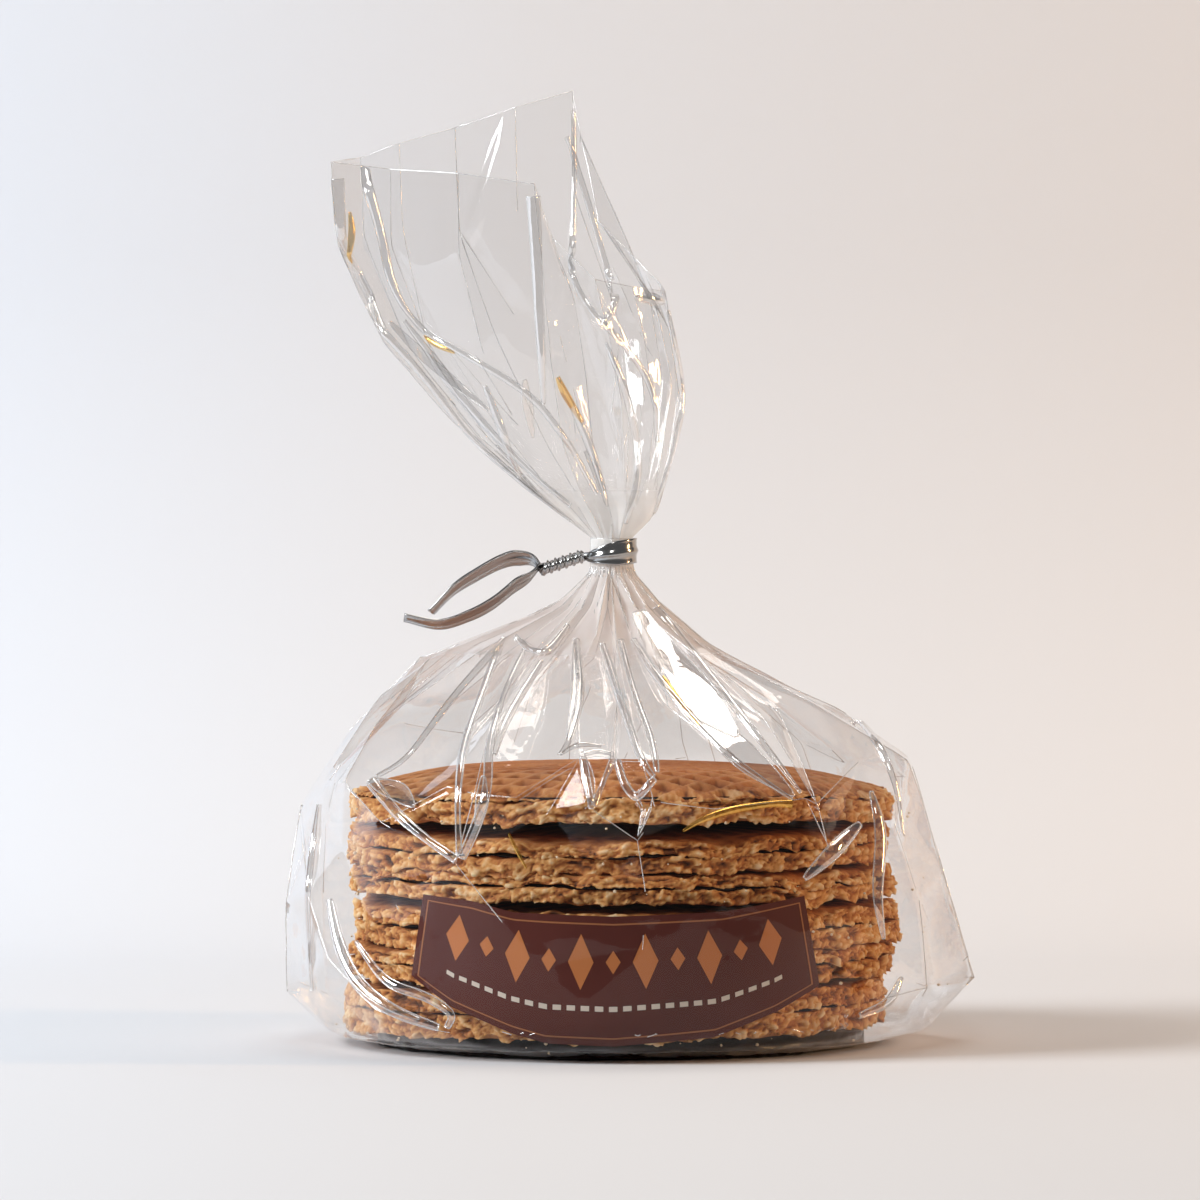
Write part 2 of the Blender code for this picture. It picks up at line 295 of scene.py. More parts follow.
def object_from(mesh, name, *materials):
    """Turns a bmesh, in millimetres, into a smooth object."""
    for vertex in mesh.verts:
        vertex.co *= MM
    data = bpy.data.meshes.new(name)
    mesh.to_mesh(data)
    mesh.free()
    data.shade_smooth()
    for each in materials:
        data.materials.append(each)
    made = bpy.data.objects.new(name, data)
    bpy.context.scene.collection.objects.link(made)
    return made


def only(thing):
    """Makes one object the whole selection."""
    bpy.ops.object.select_all(action="DESELECT")
    thing.select_set(True)
    bpy.context.view_layer.objects.active = thing


def apply_all(thing):
    only(thing)
    for modifier in list(thing.modifiers):
        bpy.ops.object.modifier_apply(modifier=modifier.name)


def attribute(thing, name, values):
    made = thing.data.attributes.new(name, "FLOAT", "POINT")
    made.data.foreach_set("value", np.asarray(values, np.float32))


# ---------------------------------------------------------------- the film

# Folds that can be followed by eye, from the neck down: direction, height, how far the fold stands out.
FRONT_FOLDS = [
    [(10, 76, 0.5), (30, 68, 1.2), (38, 62, 1.8), (37, 53, 2.0), (39, 40, 1.0), (42, 33, 0.2)],
    [(-2, 76, -0.4), (10, 66, -0.8), (15, 55, -1.6), (25, 48, -1.4), (37, 41, 0.4)],
    [(-10, 76, 0.4), (-12, 66, 1.0), (2, 56, 1.6), (4, 47, 2.2), (6, 41, 1.6)],
    [(-3, 66, -0.6), (-1, 56, -1.2), (-1, 47, -0.2), (6, 41, 1.6)],
    [(-20, 70, 0.6), (-16, 60, 0.6), (-8, 47.5, 1.8), (-5.5, 40, 1.2)],
    [(-8, 62, -1.0), (-4, 54, -1.0), (-2, 47.5, 1.2), (-5.5, 40, 1.2)],
    [(-34, 70, 0.7), (-34, 63, 1.2), (-31, 52, 1.6), (-27, 42, 1.8), (-31, 31, 0.8)],
    [(-60, 70, -0.4), (-55, 60, -1.2), (-38, 49, -0.8), (-34, 43, 0.8), (-31, 31, 0.8)],
    [(-88, 68, 0.8), (-76, 62, 1.4), (-66, 52, 1.8), (-60, 43, 1.6), (-48, 37, 1.0), (-31, 31, 0.8), (-22, 22, 0.5), (-15, 15, 0.3)],
    [(4, 40, 0.1), (3, 35, 0.9), (4.5, 27, 0.8), (4, 18, 0.8), (2, 9, 0.6)],
    [(-80, 34, 0.6), (-69, 25, 1.6), (-61, 15, 1.8), (-48, 7.5, 1.8), (-35, 4.6, 0.6)],
    [(60, 66, 0.4), (66, 55, 1.6), (72, 46, 2.2), (76, 40, 1.4), (80, 28, 1.2), (84, 14, 0.8)],
    [(52, 64, -0.8), (54, 54, -1.6), (60, 46, -0.8), (62, 38, 0.4), (66, 24, 1.2), (66, 10, 1.0)],
    [(84, 62, 0.2), (88, 54, 1.0), (92, 46, 1.2), (94, 32, 0.8), (92, 10, 0.6)],
    [(-98, 62, 1.6), (-100, 50, 1.6), (-96, 38, 1.2), (-92, 22, 1.2), (-88, 8, 0.6)],
]
BACK_FROM, BACK_TO, BACK_STEP = 112, 250, 13
FILM_GAP = 1.2
FOLD_HEIGHT = 1.5
FILM_SQUASH = 0.62
LOWEST_LINE = 3.0


def back_folds(chance):
    """Ridges and valleys round the back, from the neck down, uneven in reach and place."""
    folds = []
    for count, start in enumerate(range(BACK_FROM, BACK_TO, BACK_STEP)):
        ridge = count % 2 == 0
        end = chance.uniform(30, 42) if ridge else chance.uniform(46, 54)
        middle = start + chance.uniform(-4, 4)
        fold = []
        for height in (72, 64, 56, 48, 40, 32):
            if height < end:
                break
            out = chance.uniform(0.8, 2.2) if ridge else chance.uniform(-1.8, -0.6)
            fold.append((middle + chance.uniform(-2.5, 2.5), height + chance.uniform(-2, 2), out * min(1, (78 - height) / 14)))
        folds.append(fold)
    return folds


def film_cage(chance):
    """The body's film as flat facets between folds. Returns its mesh, not yet placed, and its sharp edges."""
    folds = FRONT_FOLDS + back_folds(chance)
    spots, outs, creased = [], [], []
    seam_heights = [0.0, 2.0, 6.0, 14.0, 24.0, 34.0, 42.0, 47.0, 52.0, 58.0, 64.0, 70.0, 76.0, NECK_HIGH]
    start = -110.0

    def spot(direction, height, out):
        for index, known in enumerate(spots):
            if abs(known[0] - direction) < 0.4 and abs(known[1] - height) < 0.4:
                return index
        spots.append((direction, height))
        outs.append(out)
        return len(spots) - 1

    for low, high in zip(seam_heights, seam_heights[1:]):
        for side in (start, start + 360):
            creased.append((spot(side, low, 0.6), spot(side, high, 0.6)))
    for fold in folds:
        chain = [spot(*each) for each in fold]
        creased += list(zip(chain, chain[1:]))
    # The rims at the floor and the neck, and the shallow folds in between.
    for step in range(1, 30):
        direction = start + step * 12
        spot(direction, 0.0, 0.0)
        spot(direction, 2.2, chance.uniform(-0.2, 0.5))
    for step in range(1, 36):
        direction, ridge = start + step * 10, 1 if step % 2 else -1
        spot(direction, NECK_HIGH, 0.4 * ridge)
        spot(direction, 76.0, 0.45 * ridge)
        chain = [spot(direction, 76.0, 0.45 * ridge), spot(direction + chance.uniform(-3, 3), 70.5, chance.uniform(0.5, 0.9) * ridge)]
        if step % 3:
            chain.append(spot(direction + chance.uniform(-4, 4), chance.uniform(62, 65), chance.uniform(0.6, 1.2) * ridge))
        creased += list(zip(chain, chain[1:]))
    for step in range(1, 25):
        for height, deep in ((8, 0.7), (20, 0.6), (32, 0.7), (42, 0.9), (50, 1.6), (57, 1.8)):
            direction = start + (step + chance.uniform(-0.4, 0.4)) * 14.4
            lifted = height + chance.uniform(-4, 4) * (0.4 if height < 10 or height > 60 else 1)
            near = min(math.hypot((direction - d) * 0.7, lifted - h) for d, h in spots)
            if near > 4.5:
                spot(direction, lifted, chance.uniform(-deep, deep))

    flat = [Vector((direction * FILM_SQUASH, height)) for direction, height in spots]
    corners, edges, faces, _, edge_from, _ = delaunay_2d_cdt(flat, creased, [], 0, 0.01, True)
    mesh = bmesh.new()
    crease = mesh.edges.layers.float.new("crease_edge")
    nearest = kdtree.KDTree(len(flat))
    for index, place in enumerate(flat):
        nearest.insert((place.x, place.y, 0), index)
    nearest.balance()
    made = []
    for corner in corners:
        found = nearest.find_n((corner.x, corner.y, 0), 2)
        out = outs[found[0][1]] if found[0][2] < 0.5 else sum(outs[each[1]] for each in found) / 2
        made.append(mesh.verts.new((corner.x / FILM_SQUASH, corner.y, out)))
    for face in faces:
        mesh.faces.new([made[index] for index in face])
    for index, edge in enumerate(edges):
        joined = mesh.edges.get((made[edge[0]], made[edge[1]]))
        if joined is not None:
            joined[crease] = 1.0 if edge_from[index] else chance.uniform(0.25, 0.85)
    return mesh, crease


def smallest_reach(direction, height):
    """How close the film may come: outside the label on the front and outside the stack all round."""
    if height < 28 and abs(direction) < 46:
        return bag_reach(direction, height) + 0.95
    return 46.3 if height < 40 else 0.0


def make_body_film():
    """The film round the stack and up to the neck."""
    chance = random.Random(11)
    mesh, crease = film_cage(chance)
    for vertex in mesh.verts:
        direction, height, out = vertex.co
        out = (out * FOLD_HEIGHT + FILM_GAP * (1 if height < 48 else 0.4)) * min(1, max(0.05, (77 - height) / 9))
        vertex.co = place_on_bag(direction, max(height, 0.15), out)
    bmesh.ops.remove_doubles(mesh, verts=mesh.verts, dist=0.05)
    bottom = [edge for edge in mesh.edges if edge.is_boundary and edge.verts[0].co.z < 1 and edge.verts[1].co.z < 1]
    bmesh.ops.holes_fill(mesh, edges=bottom)
    bmesh.ops.recalc_face_normals(mesh, faces=mesh.faces)
    film = object_from(mesh, "film_body", film_material("clear_film", 0.965, 0.022, 57, 74))
    smooth = film.modifiers.new("facets", "SUBSURF")
    smooth.levels = smooth.render_levels = 3
    apply_all(film)
    for vertex in film.data.vertices:
        x, y, height = vertex.co / MM
        direction = math.degrees(math.atan2(x, -y))
        reach, least = math.hypot(x, y), smallest_reach(direction, height)
        if reach < least and height > 1.5:
            vertex.co.x *= least / reach
            vertex.co.y *= least / reach
    crumple(film, 0.22)
    return film


def crumple(film, strength):
    """Waves the film a little all over, as cellophane does between its folds."""
    waves = bpy.data.textures.new("slow_waves", "CLOUDS")
    waves.noise_scale = 0.011
    bend = film.modifiers.new("waves", "DISPLACE")
    bend.texture = waves
    bend.texture_coords = "LOCAL"
    bend.mid_level = 0.5
    bend.strength = strength * 2 * MM
    apply_all(film)


def fold_lines(film, name, least_turn, thickness):
    """The tight edges of the film's folds, as thin rounded lines along every edge that turns sharply."""
    mesh = bmesh.new()
    mesh.from_mesh(film.data)
    above_floor = [edge for edge in mesh.edges if edge.verts[0].co.z > LOWEST_LINE * MM]
    sharp = [edge for edge in above_floor if edge.is_boundary or edge.calc_face_angle(0) > math.radians(least_turn)]
    lines = bmesh.new()
    ends = {}
    for edge in sharp:
        pair = []
        for vertex in edge.verts:
            if vertex.index not in ends:
                ends[vertex.index] = lines.verts.new(vertex.co / MM)
            pair.append(ends[vertex.index])
        lines.edges.new(pair)
    mesh.free()
    made = object_from(lines, name)
    only(made)
    bpy.ops.object.convert(target="CURVE")
    made = bpy.context.object
    made.data.bevel_depth = thickness * MM
    made.data.bevel_resolution = 1
    for spline in made.data.splines:
        for point in spline.points:
            point.radius = 0.75 + 0.65 * noise.noise(point.co.to_3d() * 140)
    bpy.ops.object.convert(target="MESH")
    made = bpy.context.object
    made.data.materials.clear()
    made.data.materials.append(FOLD_EDGE)
    made.data.shade_smooth()
    return made


# Pleats that show from the front: rolled ones are narrow half-tubes, flat ones are facets that catch the overhead
# light. Each is a line of (x, height, width) and is laid on the film below it.
ROLLED, FLAT = "rolled", "flat"
BODY_PLEATS = [
    (FLAT, [(2.5, 70.3, 1.5), (6.6, 63.6, 4.0), (12.5, 55.8, 5.6), (19.0, 49.6, 0.6)]),
    (FLAT, [(6.2, 61.5, 0.4), (13.3, 53.5, 2.8), (20.3, 46.5, 4.0), (28.0, 40.5, 0.3)]),
    (ROLLED, [(5.0, 71.0, 1.2), (12.5, 62.0, 1.0), (20.3, 52.0, 0.9), (29.2, 40.4, 0.3)]),
    (ROLLED, [(1.5, 66.0, 0.8), (8.0, 57.0, 1.0), (17.0, 47.5, 0.8), (28.0, 40.0, 0.3)]),
    (ROLLED, [(-39.6, 43.4, 1.4), (-35.6, 39.0, 1.2), (-30.4, 34.8, 0.9), (-25.0, 31.3, 1.0)]),
    (FLAT, [(-39.8, 43.4, 0.8), (-36.0, 42.0, 3.4), (-32.0, 39.0, 0.4)]),
    (ROLLED, [(-25.0, 31.3, 0.9), (-22.5, 37.0, 1.1), (-20.8, 42.6, 1.0), (-20.5, 49.5, 0.9), (-17.8, 58.0, 0.8), (-15.0, 64.0, 0.6)]),
    (ROLLED, [(-25.0, 31.5, 0.8), (-25.2, 41.0, 0.7), (-24.5, 49.0, 1.0), (-21.8, 57.0, 0.9), (-19.0, 65.0, 0.8)]),
    (FLAT, [(-22.4, 36.5, 0.5), (-21.6, 41.0, 1.3), (-21.4, 45.0, 0.4)]),
    (ROLLED, [(-6.0, 47.8, 0.9), (-5.2, 43.5, 0.9), (-4.4, 39.6, 0.7)]),
    (ROLLED, [(-1.4, 47.8, 0.8), (-3.0, 43.8, 0.8), (-4.3, 39.8, 0.7)]),
    (ROLLED, [(-6.2, 47.9, 0.7), (-3.6, 48.3, 0.8), (-1.3, 47.9, 0.7)]),
    (FLAT, [(-5.6, 47.4, 0.7), (-5.0, 44.0, 1.4), (-4.5, 40.5, 0.3)]),
    (ROLLED, [(-0.5, 47.3, 0.8), (0.6, 43.4, 0.8), (2.7, 41.6, 0.9), (5.3, 44.6, 0.7)]),
    (ROLLED, [(-0.3, 66.0, 0.8), (2.4, 56.5, 0.9), (4.8, 50.0, 0.9), (5.6, 44.8, 0.5)]),
    (ROLLED, [(-3.2, 65.5, 0.7), (0.6, 55.0, 0.9), (3.2, 47.5, 0.8), (5.2, 44.4, 0.5)]),
    (FLAT, [(-7.2, 65.5, 0.5), (-6.9, 57.0, 1.3), (-8.2, 49.5, 0.4)]),
    (ROLLED, [(-7.0, 66.0, 0.8), (-6.4, 57.0, 0.9), (-8.0, 50.0, 0.9), (-9.6, 47.6, 0.4)]),
    (ROLLED, [(-9.6, 47.6, 0.4), (-6.5, 49.3, 0.8), (-2.6, 49.0, 0.4)]),
    (ROLLED, [(-17.5, 66.5, 0.6), (-27.0, 55.5, 1.0), (-33.5, 47.0, 0.8), (-39.0, 43.5, 0.5)]),
    (ROLLED, [(-8.0, 68.0, 0.6), (-12.5, 63.0, 1.0), (-17.5, 66.0, 0.6)]),
    (ROLLED, [(-12.0, 63.0, 0.6), (-18.0, 53.0, 0.9), (-20.0, 47.0, 0.4)]),
    (ROLLED, [(-46.2, 25.0, 0.8), (-44.4, 17.0, 1.4), (-41.0, 11.2, 1.6), (-35.2, 7.4, 1.4), (-27.4, 4.9, 0.7)]),
    (ROLLED, [(-42.2, 18.5, 0.4), (-36.8, 12.2, 1.0), (-30.5, 10.0, 1.0), (-26.4, 7.4, 0.9), (-27.2, 5.0, 0.6)]),
    (FLAT, [(-44.6, 19.0, 0.4), (-42.0, 12.2, 1.5), (-36.0, 7.8, 1.2), (-31.0, 6.0, 0.3)]),
    (ROLLED, [(38.0, 36.8, 0.8), (33.6, 32.8, 1.9), (28.0, 27.8, 0.5)]),
    (ROLLED, [(44.6, 12.4, 0.5), (42.2, 8.5, 1.4), (36.8, 6.3, 0.7)]),
    (ROLLED, [(39.5, 42.0, 0.6), (41.0, 34.5, 1.8), (40.4, 25.4, 1.5), (41.6, 17.5, 0.5)]),
    (ROLLED, [(33.0, 57.0, 0.4), (40.0, 50.0, 1.2), (43.5, 43.0, 0.9), (45.0, 33.0, 0.5)]),
    (ROLLED, [(-48.0, 40.0, 0.4), (-49.2, 30.0, 1.2), (-49.5, 20.0, 1.0), (-49.0, 8.0, 0.5)]),
]
# Pleats on the body in the film with the painted golden glint.
PAINTED_GLINT_PLEATS = [
    (ROLLED, [(9.2, 36.0, 0.25), (12.6, 37.9, 0.7), (17.4, 39.4, 0.9), (23.4, 40.2, 0.8), (27.0, 40.1, 1.1)]),
    (ROLLED, [(6.5, 60.0, 0.4), (9.4, 55.5, 1.0), (13.0, 51.5, 0.3)]),
    (ROLLED, [(-17.6, 36.2, 0.2), (-16.0, 33.0, 0.5), (-14.4, 30.0, 0.2)]),
]
FAN_PLEATS = [
    (FLAT, [(-38.0, 117.0, 0.5), (-31.0, 110.0, 1.8), (-20.0, 101.0, 0.5)]),
    (FLAT, [(-15.5, 107.5, 0.4), (-15.0, 103.0, 1.4), (-14.0, 97.0, 0.3)]),
    (FLAT, [(2.2, 120.2, 1.5), (4.5, 119.9, 1.1), (7.0, 119.7, 0.3)]),
    (FLAT, [(-6.0, 96.0, 0.4), (-3.5, 91.0, 1.2), (-2.0, 86.0, 0.3)]),
    (ROLLED, [(-45.6, 141.0, 1.7), (-44.5, 126.2, 1.1), (-41.0, 118.2, 1.0), (-32.0, 108.2, 0.8), (-21.9, 95.7, 0.8), (-6.0, 83.0, 0.5)]),
    (ROLLED, [(-41.8, 141.8, 1.5), (-38.6, 130.6, 1.1), (-36.8, 122.6, 1.0), (-32.8, 116.0, 0.7), (-24.0, 110.6, 0.8), (-14.4, 104.4, 0.8), (-8.6, 97.0, 0.7), (-3.2, 87.6, 0.5)]),
    (ROLLED, [(-13.9, 137.6, 1.7), (-13.3, 126.2, 1.3), (-12.8, 115.2, 1.1), (-12.2, 101.6, 0.4)]),
    (ROLLED, [(-7.7, 153.4, 0.7), (-7.5, 137.0, 0.6), (-7.7, 125.2, 0.9), (-4.5, 118.4, 0.8), (0.8, 112.0, 0.7), (4.9, 106.0, 0.7), (6.0, 96.0, 0.4)]),
    (ROLLED, [(-9.0, 147.6, 0.6), (-6.8, 142.0, 0.7), (-3.2, 129.8, 0.7), (-0.8, 120.4, 1.0), (-3.0, 115.0, 0.6)]),
    (ROLLED, [(1.9, 120.3, 0.5), (5.0, 120.0, 1.5), (7.2, 119.6, 0.5)]),
    (ROLLED, [(7.3, 119.8, 0.5), (9.8, 106.3, 0.9), (9.0, 98.0, 0.8), (5.0, 84.0, 0.4)]),
    (ROLLED, [(-22.0, 107.0, 0.5), (-19.0, 99.0, 1.0), (-16.0, 90.5, 0.5)]),
    (ROLLED, [(-36.0, 118.0, 0.4), (-26.0, 105.0, 1.4), (-16.0, 94.0, 0.9), (-7.0, 86.0, 0.5)]),
    (ROLLED, [(-2.4, 114.0, 0.4), (1.0, 104.0, 1.0), (3.0, 92.0, 0.9), (0.6, 83.0, 0.5)]),
    (ROLLED, [(-10.5, 108.0, 0.4), (-5.5, 98.0, 1.0), (-2.4, 88.0, 0.5)]),
]
# Pleats on the fan in the film with the painted golden glint.
PAINTED_GLINT_FAN_PLEATS = [
    (ROLLED, [(-10.4, 107.8, 0.6), (-9.0, 104.6, 1.1), (-5.6, 99.6, 0.4)]),
    (ROLLED, [(-43.6, 134.5, 0.3), (-43.2, 130.5, 0.9), (-44.0, 125.0, 0.3)]),
    (ROLLED, [(-32.0, 114.5, 0.3), (-29.5, 112.8, 0.7), (-26.0, 111.2, 0.3)]),
]
TOWARD_PANEL = Vector((0.086, -0.585, 0.806))
PLEAT_STEPS, PLEAT_SPANS, PLEAT_LIFT, PLEAT_WIDTH = 9, 6, 0.25, 1.35


def pleats(film, name, table, material):
    """Narrow folds laid on the front of the film."""
    surface = BVHTree.FromObject(film, bpy.context.evaluated_depsgraph_get())
    mesh = bmesh.new()
    for kind, points in table:
        route = smooth_route([Vector((x, width, height)) for x, height, width in points], PLEAT_STEPS * (len(points) - 1))
        places = []
        for x, width, height in route:
            place, normal = surface.ray_cast(Vector((x * MM, -0.2, height * MM)), Vector((0, 1, 0)))[:2]
            if place is None:
                place, normal = surface.find_nearest(Vector((x, 0, height)) * MM)[:2]
            if normal.y > 0:
                normal = -normal
            places.append((place / MM, normal, max(0.15, width * PLEAT_WIDTH)))
        chord = places[-1][0] - places[0][0]
        rows = []
        for index, (place, normal, width) in enumerate(places):
            nearby = places[max(0, index - 2) : index + 3]
            place = sum((each[0] for each in nearby), Vector()) / len(nearby)
            normal = TOWARD_PANEL if kind == FLAT else sum((each[1] for each in nearby), Vector()).normalized()
            step_on = places[min(index + 1, len(places) - 1)][0] - places[max(index - 1, 0)][0]
            forward = chord if kind == FLAT else step_on
            across = forward.cross(normal).normalized()
            out = across.cross(forward).normalized()
            out = out if out.y < 0 else -out
            rise = 0.03 if kind == FLAT else 0.42
            row = []
            for step in range(PLEAT_SPANS + 1):
                turned = math.pi * step / PLEAT_SPANS
                row.append(mesh.verts.new(place + across * width / 2 * math.cos(turned) + out * (width * rise * math.sin(turned) + PLEAT_LIFT)))
            rows.append(row)
        for lower, upper in zip(rows, rows[1:]):
            for here in range(PLEAT_SPANS):
                mesh.faces.new((lower[here], lower[here + 1], upper[here + 1], upper[here]))
    bmesh.ops.recalc_face_normals(mesh, faces=mesh.faces)
    return object_from(mesh, name, material)


def fold_edge_material():
    """A tight fold's edge: half clear, and bright where it catches light."""
    made, nodes, links = new_material("fold_edge")
    clear = node(nodes, "BsdfTransparent", Color=(0.96, 0.96, 0.96, 1))
    shine = node(nodes, "BsdfGlossy", Color=(1, 1, 1, 1), Roughness=0.12)
    milk = node(nodes, "BsdfDiffuse", Color=(0.93, 0.93, 0.93, 1))
    bright = nodes.new("ShaderNodeMixShader")
    bright.inputs["Fac"].default_value = 0.45
    links.new(shine.outputs[0], bright.inputs[1])
    links.new(milk.outputs[0], bright.inputs[2])
    edge = nodes.new("ShaderNodeMixShader")
    edge.inputs["Fac"].default_value = 0.52
    links.new(clear.outputs[0], edge.inputs[1])
    links.new(bright.outputs[0], edge.inputs[2])
    end = nodes.new("ShaderNodeOutputMaterial")
    links.new(edge.outputs[0], end.inputs["Surface"])
    return made


# Above the neck the film fans out and leans left: its edges, seen from the front, as height and x.
FAN_LEFT = [(81.4, -4.4), (83.0, -6.4), (87.6, -12.6), (94.1, -20.8), (103.8, -30.4), (118.4, -42.4), (126.7, -45.1), (156.0, -46.9)]
FAN_RIGHT = [(81.4, 1.8), (83.2, 5.0), (88.6, 7.1), (99.9, 10.2), (106.4, 10.4), (121.3, 7.3), (133.2, -3.2), (156.0, -7.6)]
# Where each of its sixteen folds ends at the open top. Fold 0 is its left, 4 its front, 8 its right.
FAN_TIPS = [
    (-46.5, -8.0, 142.0),
    (-37.0, -4.5, 141.0),
    (-26.0, -12.0, 140.0),
    (-13.8, -14.0, 138.2),
    (-11.0, -7.0, 130.0),
    (-4.0, -12.0, 123.0),
    (2.0, -9.0, 121.9),
    (7.2, -4.0, 121.3),
    (6.0, 2.0, 123.2),
    (1.0, 6.0, 128.5),
    (-3.4, 8.0, 133.2),
    (-7.7, 14.0, 154.7),
    (-17.0, 8.5, 151.7),
    (-27.0, 13.0, 148.6),
    (-36.0, 8.0, 145.8),
    (-42.4, 11.0, 143.6),
]
FAN_ROWS = [0.0, 0.1, 0.26, 0.5, 0.76, 1.0]
FAN_NECK_RADIUS = 3.1


def fan_point(fold, rise):
    """A point of the fan in millimetres. rise is 0 at the neck and 1 at the open top."""
    turn = fold / 16 * math.tau
    low, share = int(fold) % 16, fold - int(fold)
    tip = Vector(FAN_TIPS[low]).lerp(Vector(FAN_TIPS[(low + 1) % 16]), share)
    start = Vector((NECK_X - FAN_NECK_RADIUS * math.cos(turn), -FAN_NECK_RADIUS * math.sin(turn), NECK_HIGH))
    height = start.z + rise * (tip.z - start.z)
    share_at_neck = (1 - math.cos(turn)) / 2
    tip_left, tip_right = along(FAN_LEFT, tip.z), along(FAN_RIGHT, tip.z)
    share = share_at_neck + rise * ((tip.x - tip_left) / (tip_right - tip_left) - share_at_neck)
    left, right = along(FAN_LEFT, height), along(FAN_RIGHT, height)
    opened = math.sin(rise * math.pi / 2)
    return Vector((left + share * (right - left), start.y + opened * (tip.y - start.y), height))


def make_fan_film():
    """The gathered film above the tie, open at its top."""
    chance = random.Random(23)
    mesh = bmesh.new()
    crease = mesh.edges.layers.float.new("crease_edge")
    columns = 32
    rows = []
    for level, rise in enumerate(FAN_ROWS):
        row = []
        for column in range(columns):
            on_fold = column % 2 == 0
            last = level == len(FAN_ROWS) - 1
            wander = 0 if level == 0 or last else chance.uniform(-0.035, 0.035)
            beside = 0 if on_fold else chance.uniform(-0.35, 0.35) * rise
            place = fan_point(column / 2 + beside, min(1, max(0, rise + wander)))
            deep = 0.25 + 1.5 * math.sin(rise * math.pi) ** 0.7
            place.y += chance.uniform(-1, 1) * (0.5 if on_fold else 1.0) * deep * (0.15 if last else 1)
            row.append(mesh.verts.new(place))
        rows.append(row)
    bottom = [mesh.verts.new((NECK_X + (v.co.x - NECK_X) * 0.95, v.co.y * 0.95, NECK_LOW + 1)) for v in rows[0]]
    rows.insert(0, bottom)
    for lower, upper in zip(rows, rows[1:]):
        for here in range(columns):
            beside = (here + 1) % columns
            a, b, c, d = lower[here], lower[beside], upper[beside], upper[here]
            corners = ((a, b, c), (a, c, d)) if chance.random() < 0.5 else ((a, b, d), (b, c, d))
            for corner in corners:
                mesh.faces.new(corner)
    for level, row in enumerate(rows):
        for column, vertex in enumerate(row):
            for edge in vertex.link_edges:
                other = edge.other_vert(vertex)
                same_column = level + 1 < len(rows) and other is rows[level + 1][column]
                if same_column and column % 2 == 0:
                    edge[crease] = 1.0
                elif edge[crease] == 0:
                    edge[crease] = chance.uniform(0.3, 0.9)
    bmesh.ops.recalc_face_normals(mesh, faces=mesh.faces)
    fan = object_from(mesh, "film_fan", film_material("clear_film_fan", 0.955, 0.05, 93, 82))
    smooth = fan.modifiers.new("facets", "SUBSURF")
    smooth.levels = smooth.render_levels = 3
    apply_all(fan)
    crumple(fan, 0.5)
    return fan


# ---------------------------------------------------------------- the wafers

WAFER_RADIUS = 44.0
RIM_STEPS = 700
CRUMB_FLATNESS, DROOP_WIDTH = 1.35, 19
GRID_PITCH, GRID_DEPTH = 4.2, 1.0
# The syrup's thickness, then the thickness and radius of the dark disc of painted shade under the stack.
SYRUP_THICKNESS, BASE_THICKNESS, BASE_RADIUS = 0.35, 1.9, 39.5
CRUMB_COUNT = 90
# Each wafer from the bottom: the height of its underside, its thickness, its shift to the right and back, how
# far its right side and its front are tipped up, and how much its rim waves.
WAFERS = [
    (2.9, 7.6, -0.6, 0.3, 0.7, 0.2, 0.30),
    (11.4, 5.4, 0.3, -0.4, 0.2, 0.0, 0.30),
    (17.0, 6.4, 1.2, 0.2, -0.1, -0.1, 0.35),
    (24.4, 5.0, 0.2, -0.3, 0.0, 0.1, 0.35),
    (29.6, 5.6, -0.5, 0.3, 0.1, -0.3, 0.35),
    (36.7, 7.4, 0.4, -0.1, -0.1, 0.2, 0.40),
]


def grain(across, up, size, seed):
    """Flattened crumbs over a rim: each point's crumb, as a random height, and how deep in the crack beside it."""
    up = up * CRUMB_FLATNESS
    turns = max(1, round(math.tau * WAFER_RADIUS / size))
    random_spots = np.random.RandomState(seed).rand(turns, 64, 3)
    column = np.floor(across * turns).astype(int)
    row = np.floor(up / size).astype(int) + 20
    nearest = np.full(across.shape, 9.0)
    second = np.full(across.shape, 9.0)
    height = np.zeros(across.shape)
    for by_column in (-1, 0, 1):
        for by_row in (-1, 0, 1):
            spot = random_spots[(column + by_column) % turns, np.clip(row + by_row, 0, 63)]
            side = across * turns - (column + by_column + spot[:, 0])
            rise = up / size + 20 - (row + by_row + spot[:, 1])
            far = np.hypot(side, rise)
            closer = far < nearest
            second = np.where(closer, nearest, np.minimum(second, far))
            height = np.where(closer, spot[:, 2], height)
            nearest = np.where(closer, far, nearest)
    return height, np.clip((second - nearest) / 0.45, 0, 1)


def rough(x, y, z, scale, seed):
    """Smooth noise between about -1 and 1 at many points, in millimetres: crossed waves of random direction."""
    chance = np.random.RandomState(seed + 500)
    total = np.zeros(x.shape)
    for _ in range(14):
        way = chance.normal(size=3)
        way *= math.tau / scale * chance.uniform(0.6, 1.5) / np.linalg.norm(way)
        total += np.sin(x * way[0] + y * way[1] + z * way[2] + chance.uniform(0, math.tau))
    return total / 5.3


